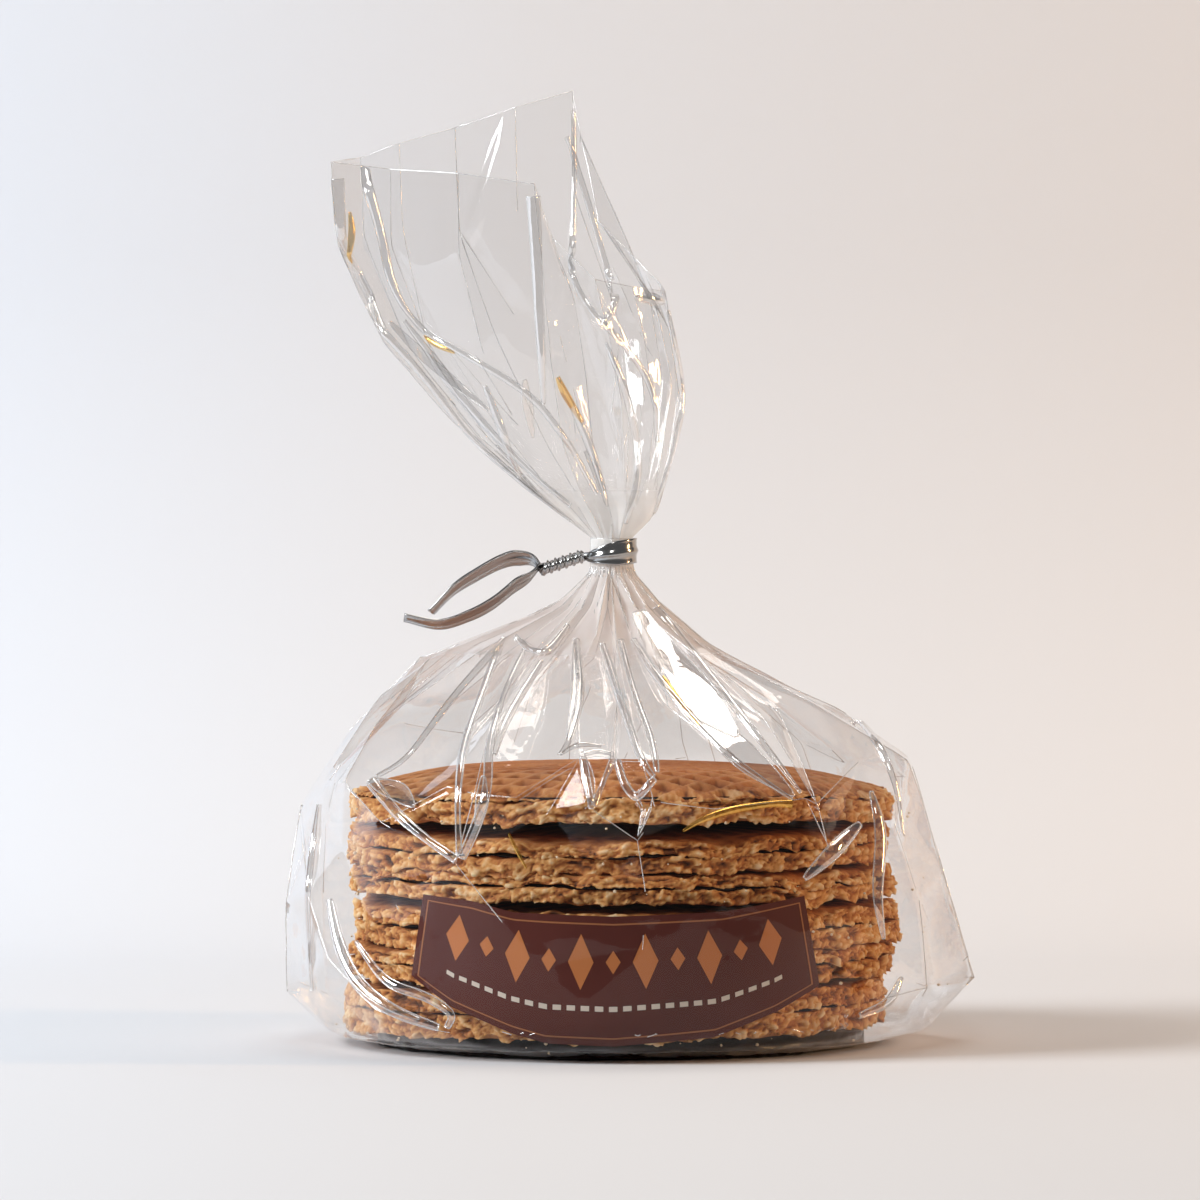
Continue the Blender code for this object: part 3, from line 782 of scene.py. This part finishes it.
def rim_outline(thickness, droop, full_top, full_bottom):
    """The cross-section of one half of a wafer from its middle underneath, round its rim, to its middle on top."""
    plain = [20.0] + [WAFER_RADIUS - 8 + 0.45 * step for step in range(17)]
    gridded = [1.0 + 1.2 * step for step in range(20)] + [WAFER_RADIUS - 19.5 + 0.5 * step for step in range(38)]
    outline = [(0.0, 0.0)] + [(r, 0.0) for r in (gridded if full_bottom else plain)]
    outline += [(WAFER_RADIUS, 0.3 * step) for step in range(int(thickness / 0.3) + 1)]
    outline += [(r, thickness) for r in (gridded if full_top else plain)[::-1]] + [(0.0, thickness)]
    dropped = []
    sloped = DROOP_WIDTH if full_top else 10
    for index, (radius, height) in enumerate(outline):
        edge = min(1, max(0, (radius - (WAFER_RADIUS - sloped)) / sloped)) ** 1.7
        share = height / thickness
        dropped.append((radius - (0.5 * share * edge if droop else 0), height - droop * edge * share))
    return dropped


def wafer_half(name, thickness, droop, seed, outer_top, full_top=False, full_bottom=False):
    """One baked layer: a disc with a crumbly cut rim and, where it shows, a pressed grid."""
    outline = rim_outline(thickness, droop, full_top, full_bottom)
    mesh = bmesh.new()
    line = [mesh.verts.new((radius, 0, height)) for radius, height in outline]
    for pair in zip(line, line[1:]):
        mesh.edges.new(pair)
    half = object_from(mesh, name, BISCUIT)
    turned = half.modifiers.new("turned", "SCREW")
    turned.steps = turned.render_steps = RIM_STEPS
    turned.use_merge_vertices = True
    turned.merge_threshold = 0.003 * MM
    apply_all(half)
    only(half)
    bpy.ops.object.mode_set(mode="EDIT")
    bpy.ops.mesh.select_all(action="SELECT")
    bpy.ops.mesh.remove_doubles(threshold=0.003 * MM)
    bpy.ops.mesh.normals_make_consistent(inside=False)
    bpy.ops.object.mode_set(mode="OBJECT")
    half.data.shade_smooth()
    count = len(half.data.vertices)
    places = np.zeros(count * 3)
    half.data.vertices.foreach_get("co", places)
    places = places.reshape(-1, 3) / MM
    normals = np.zeros(count * 3)
    half.data.vertices.foreach_get("normal", normals)
    normals = normals.reshape(-1, 3)

    x, y, z = places.T
    radius = np.hypot(x, y)
    across = (np.arctan2(y, x) / math.tau) % 1.0
    rim_depth = 7.5 if full_top else 2.4
    rim = np.clip((radius - (WAFER_RADIUS - rim_depth)) / (rim_depth * 0.75), 0, 1)
    on_edge = np.clip(np.hypot(normals[:, 0], normals[:, 1]) * 1.3, 0, 1)
    unrolled = np.where(z > thickness * 0.6, z + np.maximum(0, WAFER_RADIUS - radius), z)
    big, big_crack = grain(across, unrolled, 1.6, seed)
    small, small_crack = grain(across, unrolled, 0.8, seed + 1)
    wave = rough(x, y, z * 1.6, 7.0, seed)
    wander = rough(x, y, z * 0.3, 17.0, seed + 3)
    chips = np.clip(rough(x, y, z, 4.5, seed + 7) - 0.45, 0, 1)
    fine = rough(x, y, z * 1.5, 1.3, seed + 17)
    crumb = 0.8 * (big - 0.5) + 0.4 * (big_crack - 0.6) + 0.6 * (small - 0.5) + 0.35 * (small_crack - 0.6) + 0.22 * fine
    # Flakes part along the rim in thin level cracks.
    flake_height = thickness * (0.5 + 0.3 * rough(x, y, 0 * z, 11.0, seed + 19))
    flake_depth = np.clip(0.3 + rough(x, y, 0 * z, 9.0, seed + 21), 0, 1)
    flake = np.exp(-(((z - flake_height) / 0.3) ** 2)) * flake_depth * on_edge
    out = rim * (0.25 + 0.75 * on_edge) * (0.62 * crumb + 0.45 * wave - 1.3 * chips - 0.8 * flake)
    places += normals * out[:, None]
    outward = np.stack([x, y, np.zeros(count)], 1) / np.maximum(radius, 1)[:, None]
    places += outward * (np.clip((radius - 38) / 6, 0, 1) * (0.65 * wander - 0.3))[:, None]
    # The rim is uneven in height too, more on the outer face than against the syrup.
    sag = np.clip((radius - 36) / 8, 0, 1) ** 2
    share = z / thickness if outer_top else 1 - z / thickness
    lift = rough(x, y, 0 * z, 13.0, seed + 11) * 0.55 + rough(x, y, 0 * z, 4.5, seed + 13) * 0.38
    places[:, 2] += sag * (0.75 + 0.25 * share) * lift

    # The pressed grid, with the rim's cells squashed flatter.
    turned = math.radians(seed * 37 % 90)
    along_x = x * math.cos(turned) + y * math.sin(turned)
    along_y = y * math.cos(turned) - x * math.sin(turned)
    ribs = np.maximum(
        np.abs((along_x / GRID_PITCH) % 1 - 0.5), np.abs((along_y / GRID_PITCH) % 1 - 0.5)
    )
    pit = 1 - np.clip((ribs - 0.24) / 0.14, 0, 1)
    flat = np.clip(np.abs(normals[:, 2]), 0, 1) ** 3 * (1 - 0.5 * np.clip((radius - 40) / 4, 0, 1))
    places[:, 2] -= np.sign(normals[:, 2]) * flat * pit * GRID_DEPTH * np.where(normals[:, 2] > 0, full_top, full_bottom)

    half.data.vertices.foreach_set("co", (places * MM).ravel())
    # The crumb's colour value: a random tone for each crumb, with painted shade darkening its cracks, chips, flake
    # cracks and the grid's pits.
    crumb_tone_and_shade = np.clip(0.5 + 0.62 * crumb - 0.5 * chips - 0.5 * flake, 0, 1) * rim + (1 - rim) * (0.62 - 0.4 * pit * flat)
    attribute(half, "crumb_tone_and_painted_shade", crumb_tone_and_shade)
    attribute(half, "baked", (1 - on_edge) * np.clip((1.6 if full_top else 1.35) - rim, 0, 1))
    return half


def syrup_and_shade_disc(name, height, thickness, seed, wide):
    """A thin dark disc, a little uneven at its rim: the syrup in each wafer, and the painted shade disc under the
    stack.
    """
    bpy.ops.mesh.primitive_cylinder_add(vertices=360, radius=wide * MM, depth=1.0 * MM)
    disc = bpy.context.object
    disc.name = name
    mesh = bmesh.new()
    mesh.from_mesh(disc.data)
    for vertex in mesh.verts:
        x, y, z = vertex.co / MM
        run = noise.noise(Vector((x / 5 + seed, y / 5, 0.3)))
        fine = noise.noise(Vector((x / 1.7 + seed, y / 1.7, z)))
        stretch = 1 + (0.7 * run + 0.25 * fine) / WAFER_RADIUS
        thick = thickness * (0.5 + 0.2 * run + 0.1 * fine)
        vertex.co = Vector((x * stretch, y * stretch, math.copysign(thick, z) + height)) * MM
    mesh.to_mesh(disc.data)
    mesh.free()
    disc.data.materials.append(SYRUP)
    disc.data.shade_smooth()
    return disc


def make_wafer(number, low, thickness, right, back, side_tip, front_tip, wave):
    """One stroopwafel: two baked layers with syrup between them, tipped and warped as it lies in the stack."""
    top, bottom = number == len(WAFERS) - 1, number == 0
    layer = (thickness - SYRUP_THICKNESS) / 2
    lower = wafer_half(f"wafer_{number + 1}", layer, 0.0, 10 * number + 1, False, full_bottom=bottom)
    upper = wafer_half("upper_half", layer, 3.2 if top else 0.7, 10 * number + 5, True, full_top=top)
    upper.data.transform(Matrix.Translation((0, 0, (layer + SYRUP_THICKNESS) * MM)))
    syrup = syrup_and_shade_disc("syrup", layer + SYRUP_THICKNESS / 2, SYRUP_THICKNESS + 0.3, number * 3.1, WAFER_RADIUS - 2)
    only(lower)
    upper.select_set(True)
    syrup.select_set(True)
    bpy.ops.object.join()
    wafer = bpy.context.object
    count = len(wafer.data.vertices)
    places = np.zeros(count * 3)
    wafer.data.vertices.foreach_get("co", places)
    places = places.reshape(-1, 3) / MM
    turn = np.arctan2(places[:, 1], places[:, 0])
    reach = (np.hypot(places[:, 0], places[:, 1]) / WAFER_RADIUS) ** 2
    places[:, 2] += wave * reach * np.sin(2 * turn + number * 2.1)
    places[:, 2] += low + side_tip * places[:, 0] / WAFER_RADIUS - front_tip * places[:, 1] / WAFER_RADIUS
    places[:, 0] += right
    places[:, 1] += back
    places[:, 2] += (1 - reach) * 0.7
    wafer.data.vertices.foreach_set("co", (places * MM).ravel())
    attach(wafer, "root")
    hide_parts("filled_bag")


def make_loose_crumbs():
    """Crumbs that have fallen between the stack and the film."""
    chance = random.Random(5)
    mesh = bmesh.new()
    for _ in range(CRUMB_COUNT):
        direction, height = chance.uniform(-85, 85), chance.choice((1.2, 9.5, 18.0, 24.5, 30.5, 36.5)) + chance.uniform(0, 2.4)
        place = place_on_bag(direction, height, chance.uniform(-1.2, -0.3))
        size = chance.uniform(0.12, 0.36)
        turned = Matrix.Rotation(chance.uniform(0, math.tau), 4, "Z") @ Matrix.Diagonal((size, size * 0.7, size * 0.8, 1))
        bmesh.ops.create_icosphere(mesh, subdivisions=1, radius=1.0, matrix=Matrix.Translation(place) @ turned)
    crumbs = object_from(mesh, "loose_crumbs", plain_material("crumb", (0.80, 0.66, 0.48), 0.7))
    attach(crumbs, "root")
    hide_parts("filled_bag")


def make_painted_shade_disc():
    """A dark disc under the lowest wafer, as painted shade: it darkens the gap beneath the stack."""
    base = syrup_and_shade_disc("painted_shade_disc", BASE_THICKNESS / 2 + 0.2, BASE_THICKNESS, 9.0, BASE_RADIUS)
    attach(base, "root")
    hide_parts("filled_bag")


# ---------------------------------------------------------------- the label

LABEL_LEFT, LABEL_RIGHT = -42.5, 39.7
LABEL_TOP = [(-1.0, 25.9), (-0.72, 25.1), (-0.5, 23.5), (0.0, 23.0), (0.55, 23.6), (1.0, 25.7)]
LABEL_BOTTOM = [(-1.0, 13.0), (-0.78, 8.4), (-0.48, 4.5), (-0.32, 3.0), (0.0, 2.6), (0.48, 4.0), (0.78, 7.8), (1.0, 11.6)]
LABEL_SLANT, LABEL_GAP = 0.07, 0.45


def label_spot(across, up, out=0.0):
    """A point of the label. across runs from -1 at its left end to 1, and up from 0 to 1."""
    bottom, top = along(LABEL_BOTTOM, across), along(LABEL_TOP, across)
    height = bottom + up * (top - bottom)
    middle, half = (LABEL_LEFT + LABEL_RIGHT) / 2, (LABEL_RIGHT - LABEL_LEFT) / 2
    direction = middle + half * across * (1 - LABEL_SLANT * up)
    dent = 0.16 * noise.noise(Vector((direction / 9, height / 14, 2.0)))
    return place_on_bag(direction, height, LABEL_GAP + dent + out)


def patch(mesh, corners, index, out=0.05):
    """A small printed shape, given by its corners as (across, up)."""
    face = mesh.faces.new([mesh.verts.new(label_spot(a, b, out)) for a, b in corners])
    face.material_index = index


def make_label():
    """The label behind the film: dark paper with a thin border, a row of lozenges and a row of dashes."""
    mesh = bmesh.new()
    columns, rows = 72, 14
    grid = [[mesh.verts.new(label_spot(2 * c / columns - 1, r / rows)) for c in range(columns + 1)] for r in range(rows + 1)]
    for lower, upper in zip(grid, grid[1:]):
        for here in range(columns):
            mesh.faces.new((lower[here], lower[here + 1], upper[here + 1], upper[here]))
    # The border runs a little inside the edge.
    side, end = 0.032, 0.055
    for step in range(60):
        a, b = (-1 + side) + 2 * (1 - side) * step / 60, (-1 + side) + 2 * (1 - side) * (step + 1) / 60
        for low, high in ((end, end + 0.013), (1 - end - 0.013, 1 - end)):
            patch(mesh, [(a, low), (b, low), (b, high), (a, high)], 1)
    for step in range(12):
        low, high = end + (1 - 2 * end) * step / 12, end + (1 - 2 * end) * (step + 1) / 12
        for a, b in ((-1 + side, -1 + side + 0.008), (1 - side - 0.008, 1 - side)):
            patch(mesh, [(a, low), (b, low), (b, high), (a, high)], 1)
    # A row of lozenges, tall and short by turns, over a row of dashes.
    for step in range(11):
        middle = -0.78 + 1.56 * step / 10
        half_wide, low, high = (0.062, 0.43, 0.86) if step % 2 == 0 else (0.036, 0.56, 0.74)
        centre = (low + high) / 2
        patch(mesh, [(middle - half_wide, centre), (middle, low), (middle + half_wide, centre), (middle, high)], 2)
    for step in range(25):
        middle = -0.80 + 1.60 * step / 24
        patch(mesh, [(middle - 0.020, 0.27), (middle + 0.020, 0.27), (middle + 0.020, 0.31), (middle - 0.020, 0.31)], 3)
    label = object_from(
        mesh,
        "printed_label",
        plain_material("label_paper", (0.082, 0.010, 0.004), 0.5),
        plain_material("label_border", (0.33, 0.12, 0.045), 0.4),
        plain_material("label_lozenges", (0.50, 0.17, 0.05), 0.4),
        plain_material("label_dashes", (0.62, 0.55, 0.47), 0.4),
    )
    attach(label, "root")
    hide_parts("label")


# ---------------------------------------------------------------- the twist tie

STRIP_WIDTH, TWIST_WIDTH = 4.0, 1.0
BAND_RADIUS, BAND_HEIGHT = 3.95, 78.9
BAND_OPENING, BAND_TILT = math.radians(50), math.radians(8)
TWIST_START, TWIST_END = Vector((-5.9, 0.0, 78.6)), Vector((-12.6, -0.6, 76.4))
TWIST_RADIUS, TWIST_TURNS = 0.75, 2.75
TWIST_STEPS, BAND_STEPS, TAIL_STEPS = 90, 70, 60
UPPER_TAIL = [(-14.0, 1.0, 77.8), (-16.6, 1.8, 78.2), (-19.4, 2.2, 77.5), (-23.2, 2.6, 75.5), (-27.0, 3.0, 73.0), (-30.7, 3.2, 69.3)]
UPPER_TAIL_WIDTH = [Vector((0.1, -0.78, 0.62)), Vector((0.2, -0.84, 0.5))]
LOWER_TAIL = [(-14.6, -1.4, 75.2), (-16.9, -2.0, 73.8), (-20.6, -2.6, 70.9), (-24.4, -2.8, 68.9), (-29.2, -3.0, 67.5), (-34.9, -3.0, 68.6)]
LOWER_TAIL_WIDTH = [Vector((0.3, -0.6, 0.74)), Vector((0.0, -0.95, 0.3))]


def smooth_route(points, steps):
    """Points along a smooth curve through the given ones."""
    ends = [points[0] * 2 - points[1], *points, points[-1] * 2 - points[-2]]
    found = []
    for step in range(steps):
        at = step / (steps - 1) * (len(points) - 1)
        span = min(int(at), len(points) - 2)
        t = at - span
        a, b, c, d = ends[span : span + 4]
        found.append(0.5 * (2 * b + (c - a) * t + (2 * a - 5 * b + 4 * c - d) * t**2 + (3 * b - a - 3 * c + d) * t**3))
    return found


def twist_run(phase):
    """One run of the twist, from the neck outwards: place, the strip's width direction, how open the strip is."""
    axis = (TWIST_END - TWIST_START).normalized()
    side = axis.cross(Vector((0, 0, 1))).normalized()
    over = side.cross(axis)
    run = []
    for step in range(TWIST_STEPS):
        share = step / (TWIST_STEPS - 1)
        angle = phase + share * TWIST_TURNS * math.tau
        out = math.cos(angle) * side + math.sin(angle) * over
        round_it = math.cos(angle) * over - math.sin(angle) * side
        run.append((TWIST_START.lerp(TWIST_END, share) + TWIST_RADIUS * out, round_it, 0.0))
    return run


def band_run():
    """The strip round the neck, opening as it leaves the twist."""
    run = []
    for step in range(BAND_STEPS):
        share = step / (BAND_STEPS - 1)
        angle = math.pi + BAND_OPENING / 2 + share * (math.tau - BAND_OPENING)
        rise = BAND_RADIUS * math.cos(angle) * math.tan(BAND_TILT)
        place = Vector((NECK_X + BAND_RADIUS * math.cos(angle), BAND_RADIUS * math.sin(angle), BAND_HEIGHT + rise))
        run.append((place, Vector((0, 0, 1)), min(1.0, 0.2 + 3.2 * min(share, 1 - share))))
    return run


def tail_run(start, points, width):
    """A free tail, opening from the gathered twist to the strip's full width."""
    route = smooth_route([start, *(Vector(point) for point in points)], TAIL_STEPS)[1:]
    run = []
    for step, place in enumerate(route):
        share = (step + 1) / len(route)
        run.append((place, width[0].lerp(width[1], share).normalized(), min(1.0, 3.0 * share)))
    return run


def strip_section(place, forward, across, openness):
    """The strip's cross-section: thin paper with a wire down its middle and edges rolled a little."""
    across = (across - across.dot(forward) * forward).normalized()
    normal = forward.cross(across)
    width = TWIST_WIDTH + openness * (STRIP_WIDTH - TWIST_WIDTH)
    shape = [(-0.5, 0.16), (-0.42, 0.10), (-0.2, 0.09), (-0.11, 0.22), (0.0, 0.42), (0.11, 0.22), (0.2, 0.09), (0.42, 0.10), (0.5, 0.16)]
    corners = [(a, b) for a, b in shape] + [(a, -b) for a, b in reversed(shape)]
    return [place + width * a * across + b * normal for a, b in corners]


def make_tie():
    """The foil twist tie: one strip round the neck, twisted together, with two free tails."""
    front, back = twist_run(math.pi), twist_run(0.0)
    upper = tail_run(back[-1][0], UPPER_TAIL, UPPER_TAIL_WIDTH)
    lower = tail_run(front[-1][0], LOWER_TAIL, LOWER_TAIL_WIDTH)
    route = lower[::-1] + front[::-1] + band_run() + back + upper
    mesh = bmesh.new()
    rows, last_across = [], None
    for index, (place, across, openness) in enumerate(route):
        before, after = route[max(index - 1, 0)][0], route[min(index + 1, len(route) - 1)][0]
        if last_across is not None and across.dot(last_across) < 0:
            across = -across
        last_across = across
        rows.append([mesh.verts.new(each) for each in strip_section(place, (after - before).normalized(), across, openness)])
    for lower_row, upper_row in zip(rows, rows[1:]):
        for here in range(len(lower_row)):
            beside = (here + 1) % len(lower_row)
            mesh.faces.new((lower_row[here], lower_row[beside], upper_row[beside], upper_row[here]))
    mesh.faces.new(rows[0])
    mesh.faces.new(reversed(rows[-1]))
    bmesh.ops.recalc_face_normals(mesh, faces=mesh.faces)
    tie = object_from(mesh, "foil_tie", plain_material("dull_foil", (0.44, 0.435, 0.43), 0.15, metallic=1.0))
    only(tie)
    bpy.ops.object.shade_auto_smooth(angle=math.radians(35))
    apply_all(tie)
    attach(tie, "root")
    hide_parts("twist_tie")


# ---------------------------------------------------------------- stage, lights, camera

FLOOR_FRONT, SWEEP_START, SWEEP_RADIUS, WALL_TOP, FLOOR_DROP = -0.27, 0.20, 0.14, 0.3, 0.0002
STAGE_HALF_WIDTH = 0.9
# The paper's colour at its left, middle and right; its cool left and warm right are painted light.
PAPER_LEFT, PAPER_MIDDLE, PAPER_RIGHT = (0.75, 0.80, 0.87), (0.74, 0.745, 0.76), (0.74, 0.73, 0.73)


def paper_material():
    """Pale paper, tinted cooler at the left and warmer at the right as painted light from the cool window and the warm
    lamp. Its back can be looked through.
    """
    made, nodes, links = new_material("pale_paper")
    where = node(nodes, "TexCoord")
    place = node(nodes, "SeparateXYZ")
    links.new(where.outputs["Object"], place.inputs[0])
    across = node(nodes, "MapRange")
    across.inputs["From Min"].default_value = -0.16
    across.inputs["From Max"].default_value = 0.16
    links.new(place.outputs["X"], across.inputs["Value"])
    painted_light_tint = ramp(nodes, links, across.outputs["Result"], [(0.0, PAPER_LEFT), (0.45, PAPER_MIDDLE), (1.0, PAPER_RIGHT)])
    matt = node(nodes, "BsdfDiffuse")
    links.new(painted_light_tint, matt.inputs["Color"])
    clear = node(nodes, "BsdfTransparent", Color=(1, 1, 1, 1))
    side = node(nodes, "NewGeometry")
    paper = nodes.new("ShaderNodeMixShader")
    links.new(side.outputs["Backfacing"], paper.inputs["Fac"])
    links.new(matt.outputs[0], paper.inputs[1])
    links.new(clear.outputs[0], paper.inputs[2])
    end = nodes.new("ShaderNodeOutputMaterial")
    links.new(paper.outputs[0], end.inputs["Surface"])
    return made


def make_stage():
    """A pale table that curves up into a pale wall."""
    outline = [(FLOOR_FRONT, 0.0), (SWEEP_START, 0.0)]
    for step in range(1, 25):
        turned = math.radians(step / 24 * 90)
        outline.append((SWEEP_START + SWEEP_RADIUS * math.sin(turned), SWEEP_RADIUS * (1 - math.cos(turned))))
    outline.append((outline[-1][0], WALL_TOP))
    mesh = bmesh.new()
    line = [mesh.verts.new((-STAGE_HALF_WIDTH, across, up - FLOOR_DROP)) for across, up in outline]
    edges = [mesh.edges.new(pair) for pair in zip(line, line[1:])]
    wide = bmesh.ops.extrude_edge_only(mesh, edges=edges)
    for vertex in (each for each in wide["geom"] if isinstance(each, bmesh.types.BMVert)):
        vertex.co.x = STAGE_HALF_WIDTH
    mesh.normal_update()
    downward = [face for face in mesh.faces if face.normal.z < 0 or face.normal.y > 0]
    bmesh.ops.reverse_faces(mesh, faces=downward)
    for vertex in mesh.verts:
        vertex.co /= MM
    sweep = object_from(mesh, "pale_sweep", paper_material())


def soft_light(name, place, target, size, watts, colour):
    lamp = bpy.data.lights.new(name, "AREA")
    lamp.shape = "RECTANGLE"
    lamp.size, lamp.size_y = size
    lamp.energy = watts
    lamp.color = colour
    made = bpy.data.objects.new(name, lamp)
    bpy.context.scene.collection.objects.link(made)
    made.location = place
    made.rotation_euler = (Vector(target) - Vector(place)).to_track_quat("-Z", "Y").to_euler()
    return made


def make_light():
    world = bpy.data.worlds.new("soft_room")
    world.use_nodes = True
    nodes, links = world.node_tree.nodes, world.node_tree.links
    dim = nodes["Background"]
    dim.inputs["Color"].default_value = (0.97, 0.98, 1.0, 1)
    dim.inputs["Strength"].default_value = 0.14
    seen = node(nodes, "Background", Color=(0.82, 0.82, 0.83, 1), Strength=1.0)
    path = node(nodes, "LightPath")
    room = nodes.new("ShaderNodeMixShader")
    links.new(path.outputs["Is Camera Ray"], room.inputs["Fac"])
    links.new(dim.outputs[0], room.inputs[1])
    links.new(seen.outputs[0], room.inputs[2])
    links.new(room.outputs[0], nodes["World Output"].inputs["Surface"])
    bpy.context.scene.world = world
    soft_light("window", (-0.95, -0.35, 0.60), (0, 0.0, 0.05), (0.40, 0.5), 13.2, (0.93, 0.965, 1.0))
    soft_light("overhead_panel", (0.14, 0.30, 1.15), (0, 0.05, 0.05), (0.5, 0.45), 3.5, (1.0, 0.93, 0.86))
    soft_light("fill", (-0.15, -1.05, 1.0), (0, 0, 0.04), (0.25, 0.25), 2.4, (1.0, 0.97, 0.93))
    soft_light("warm_lamp", (0.80, -0.10, 0.30), (0, 0, 0.04), (0.04, 0.30), 2.8, (1.0, 0.58, 0.26))


def make_camera():
    camera = bpy.data.cameras.new("camera")
    made = bpy.data.objects.new("camera", camera)
    bpy.context.scene.collection.objects.link(made)
    made.location = (-0.0032, -1.1, 0.09)
    made.rotation_euler = (Vector((-0.0032, 0, 0.0714)) - made.location).to_track_quat("-Z", "Y").to_euler()
    camera.sensor_width = 36
    camera.lens = 203.5
    camera.clip_start = 0.05
    bpy.context.scene.camera = made


scene = bpy.context.scene
scene.cycles.transparent_max_bounces = 40
scene.view_settings.view_transform = "Standard"

make_stage()
make_light()
make_camera()
BISCUIT = biscuit_material()
# Dark syrup, also used for the disc of painted shade under the stack.
SYRUP = plain_material("dark_syrup", (0.012, 0.004, 0.002), 0.35, coat=0.25)
FOLD_EDGE = fold_edge_material()
for number, wafer in enumerate(WAFERS):
    make_wafer(number, *wafer)
make_painted_shade_disc()
make_loose_crumbs()
body_film, fan_film = make_body_film(), make_fan_film()
body_folds = fold_lines(body_film, "body_folds", 19, 0.09)
fan_folds = fold_lines(fan_film, "fan_folds", 24, 0.09)
doubled_film = film_material("doubled_film", 0.97, 0.30, 900, 901)
painted_glint_film = painted_glint_film_material()
body_pleats = pleats(body_film, "body_pleats", BODY_PLEATS, doubled_film)
fan_pleats = pleats(fan_film, "fan_pleats", FAN_PLEATS, doubled_film)
body_pleat_lines = fold_lines(body_pleats, "body_pleat_lines", 80, 0.15)
fan_pleat_lines = fold_lines(fan_pleats, "fan_pleat_lines", 80, 0.09)
# Pleats with the painted golden glint.
painted_glint_pleats = pleats(body_film, "painted_glint_pleats", PAINTED_GLINT_PLEATS, painted_glint_film)
painted_glint_fan_pleats = pleats(fan_film, "painted_glint_fan_pleats", PAINTED_GLINT_FAN_PLEATS, painted_glint_film)
pieces_of_film = [body_film, fan_film, body_folds, fan_folds, body_pleats, fan_pleats]
pieces_of_film += [body_pleat_lines, fan_pleat_lines, painted_glint_pleats, painted_glint_fan_pleats]
for film in pieces_of_film:
    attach(film, "root")
    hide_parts("filled_bag")
make_label()
make_tie()
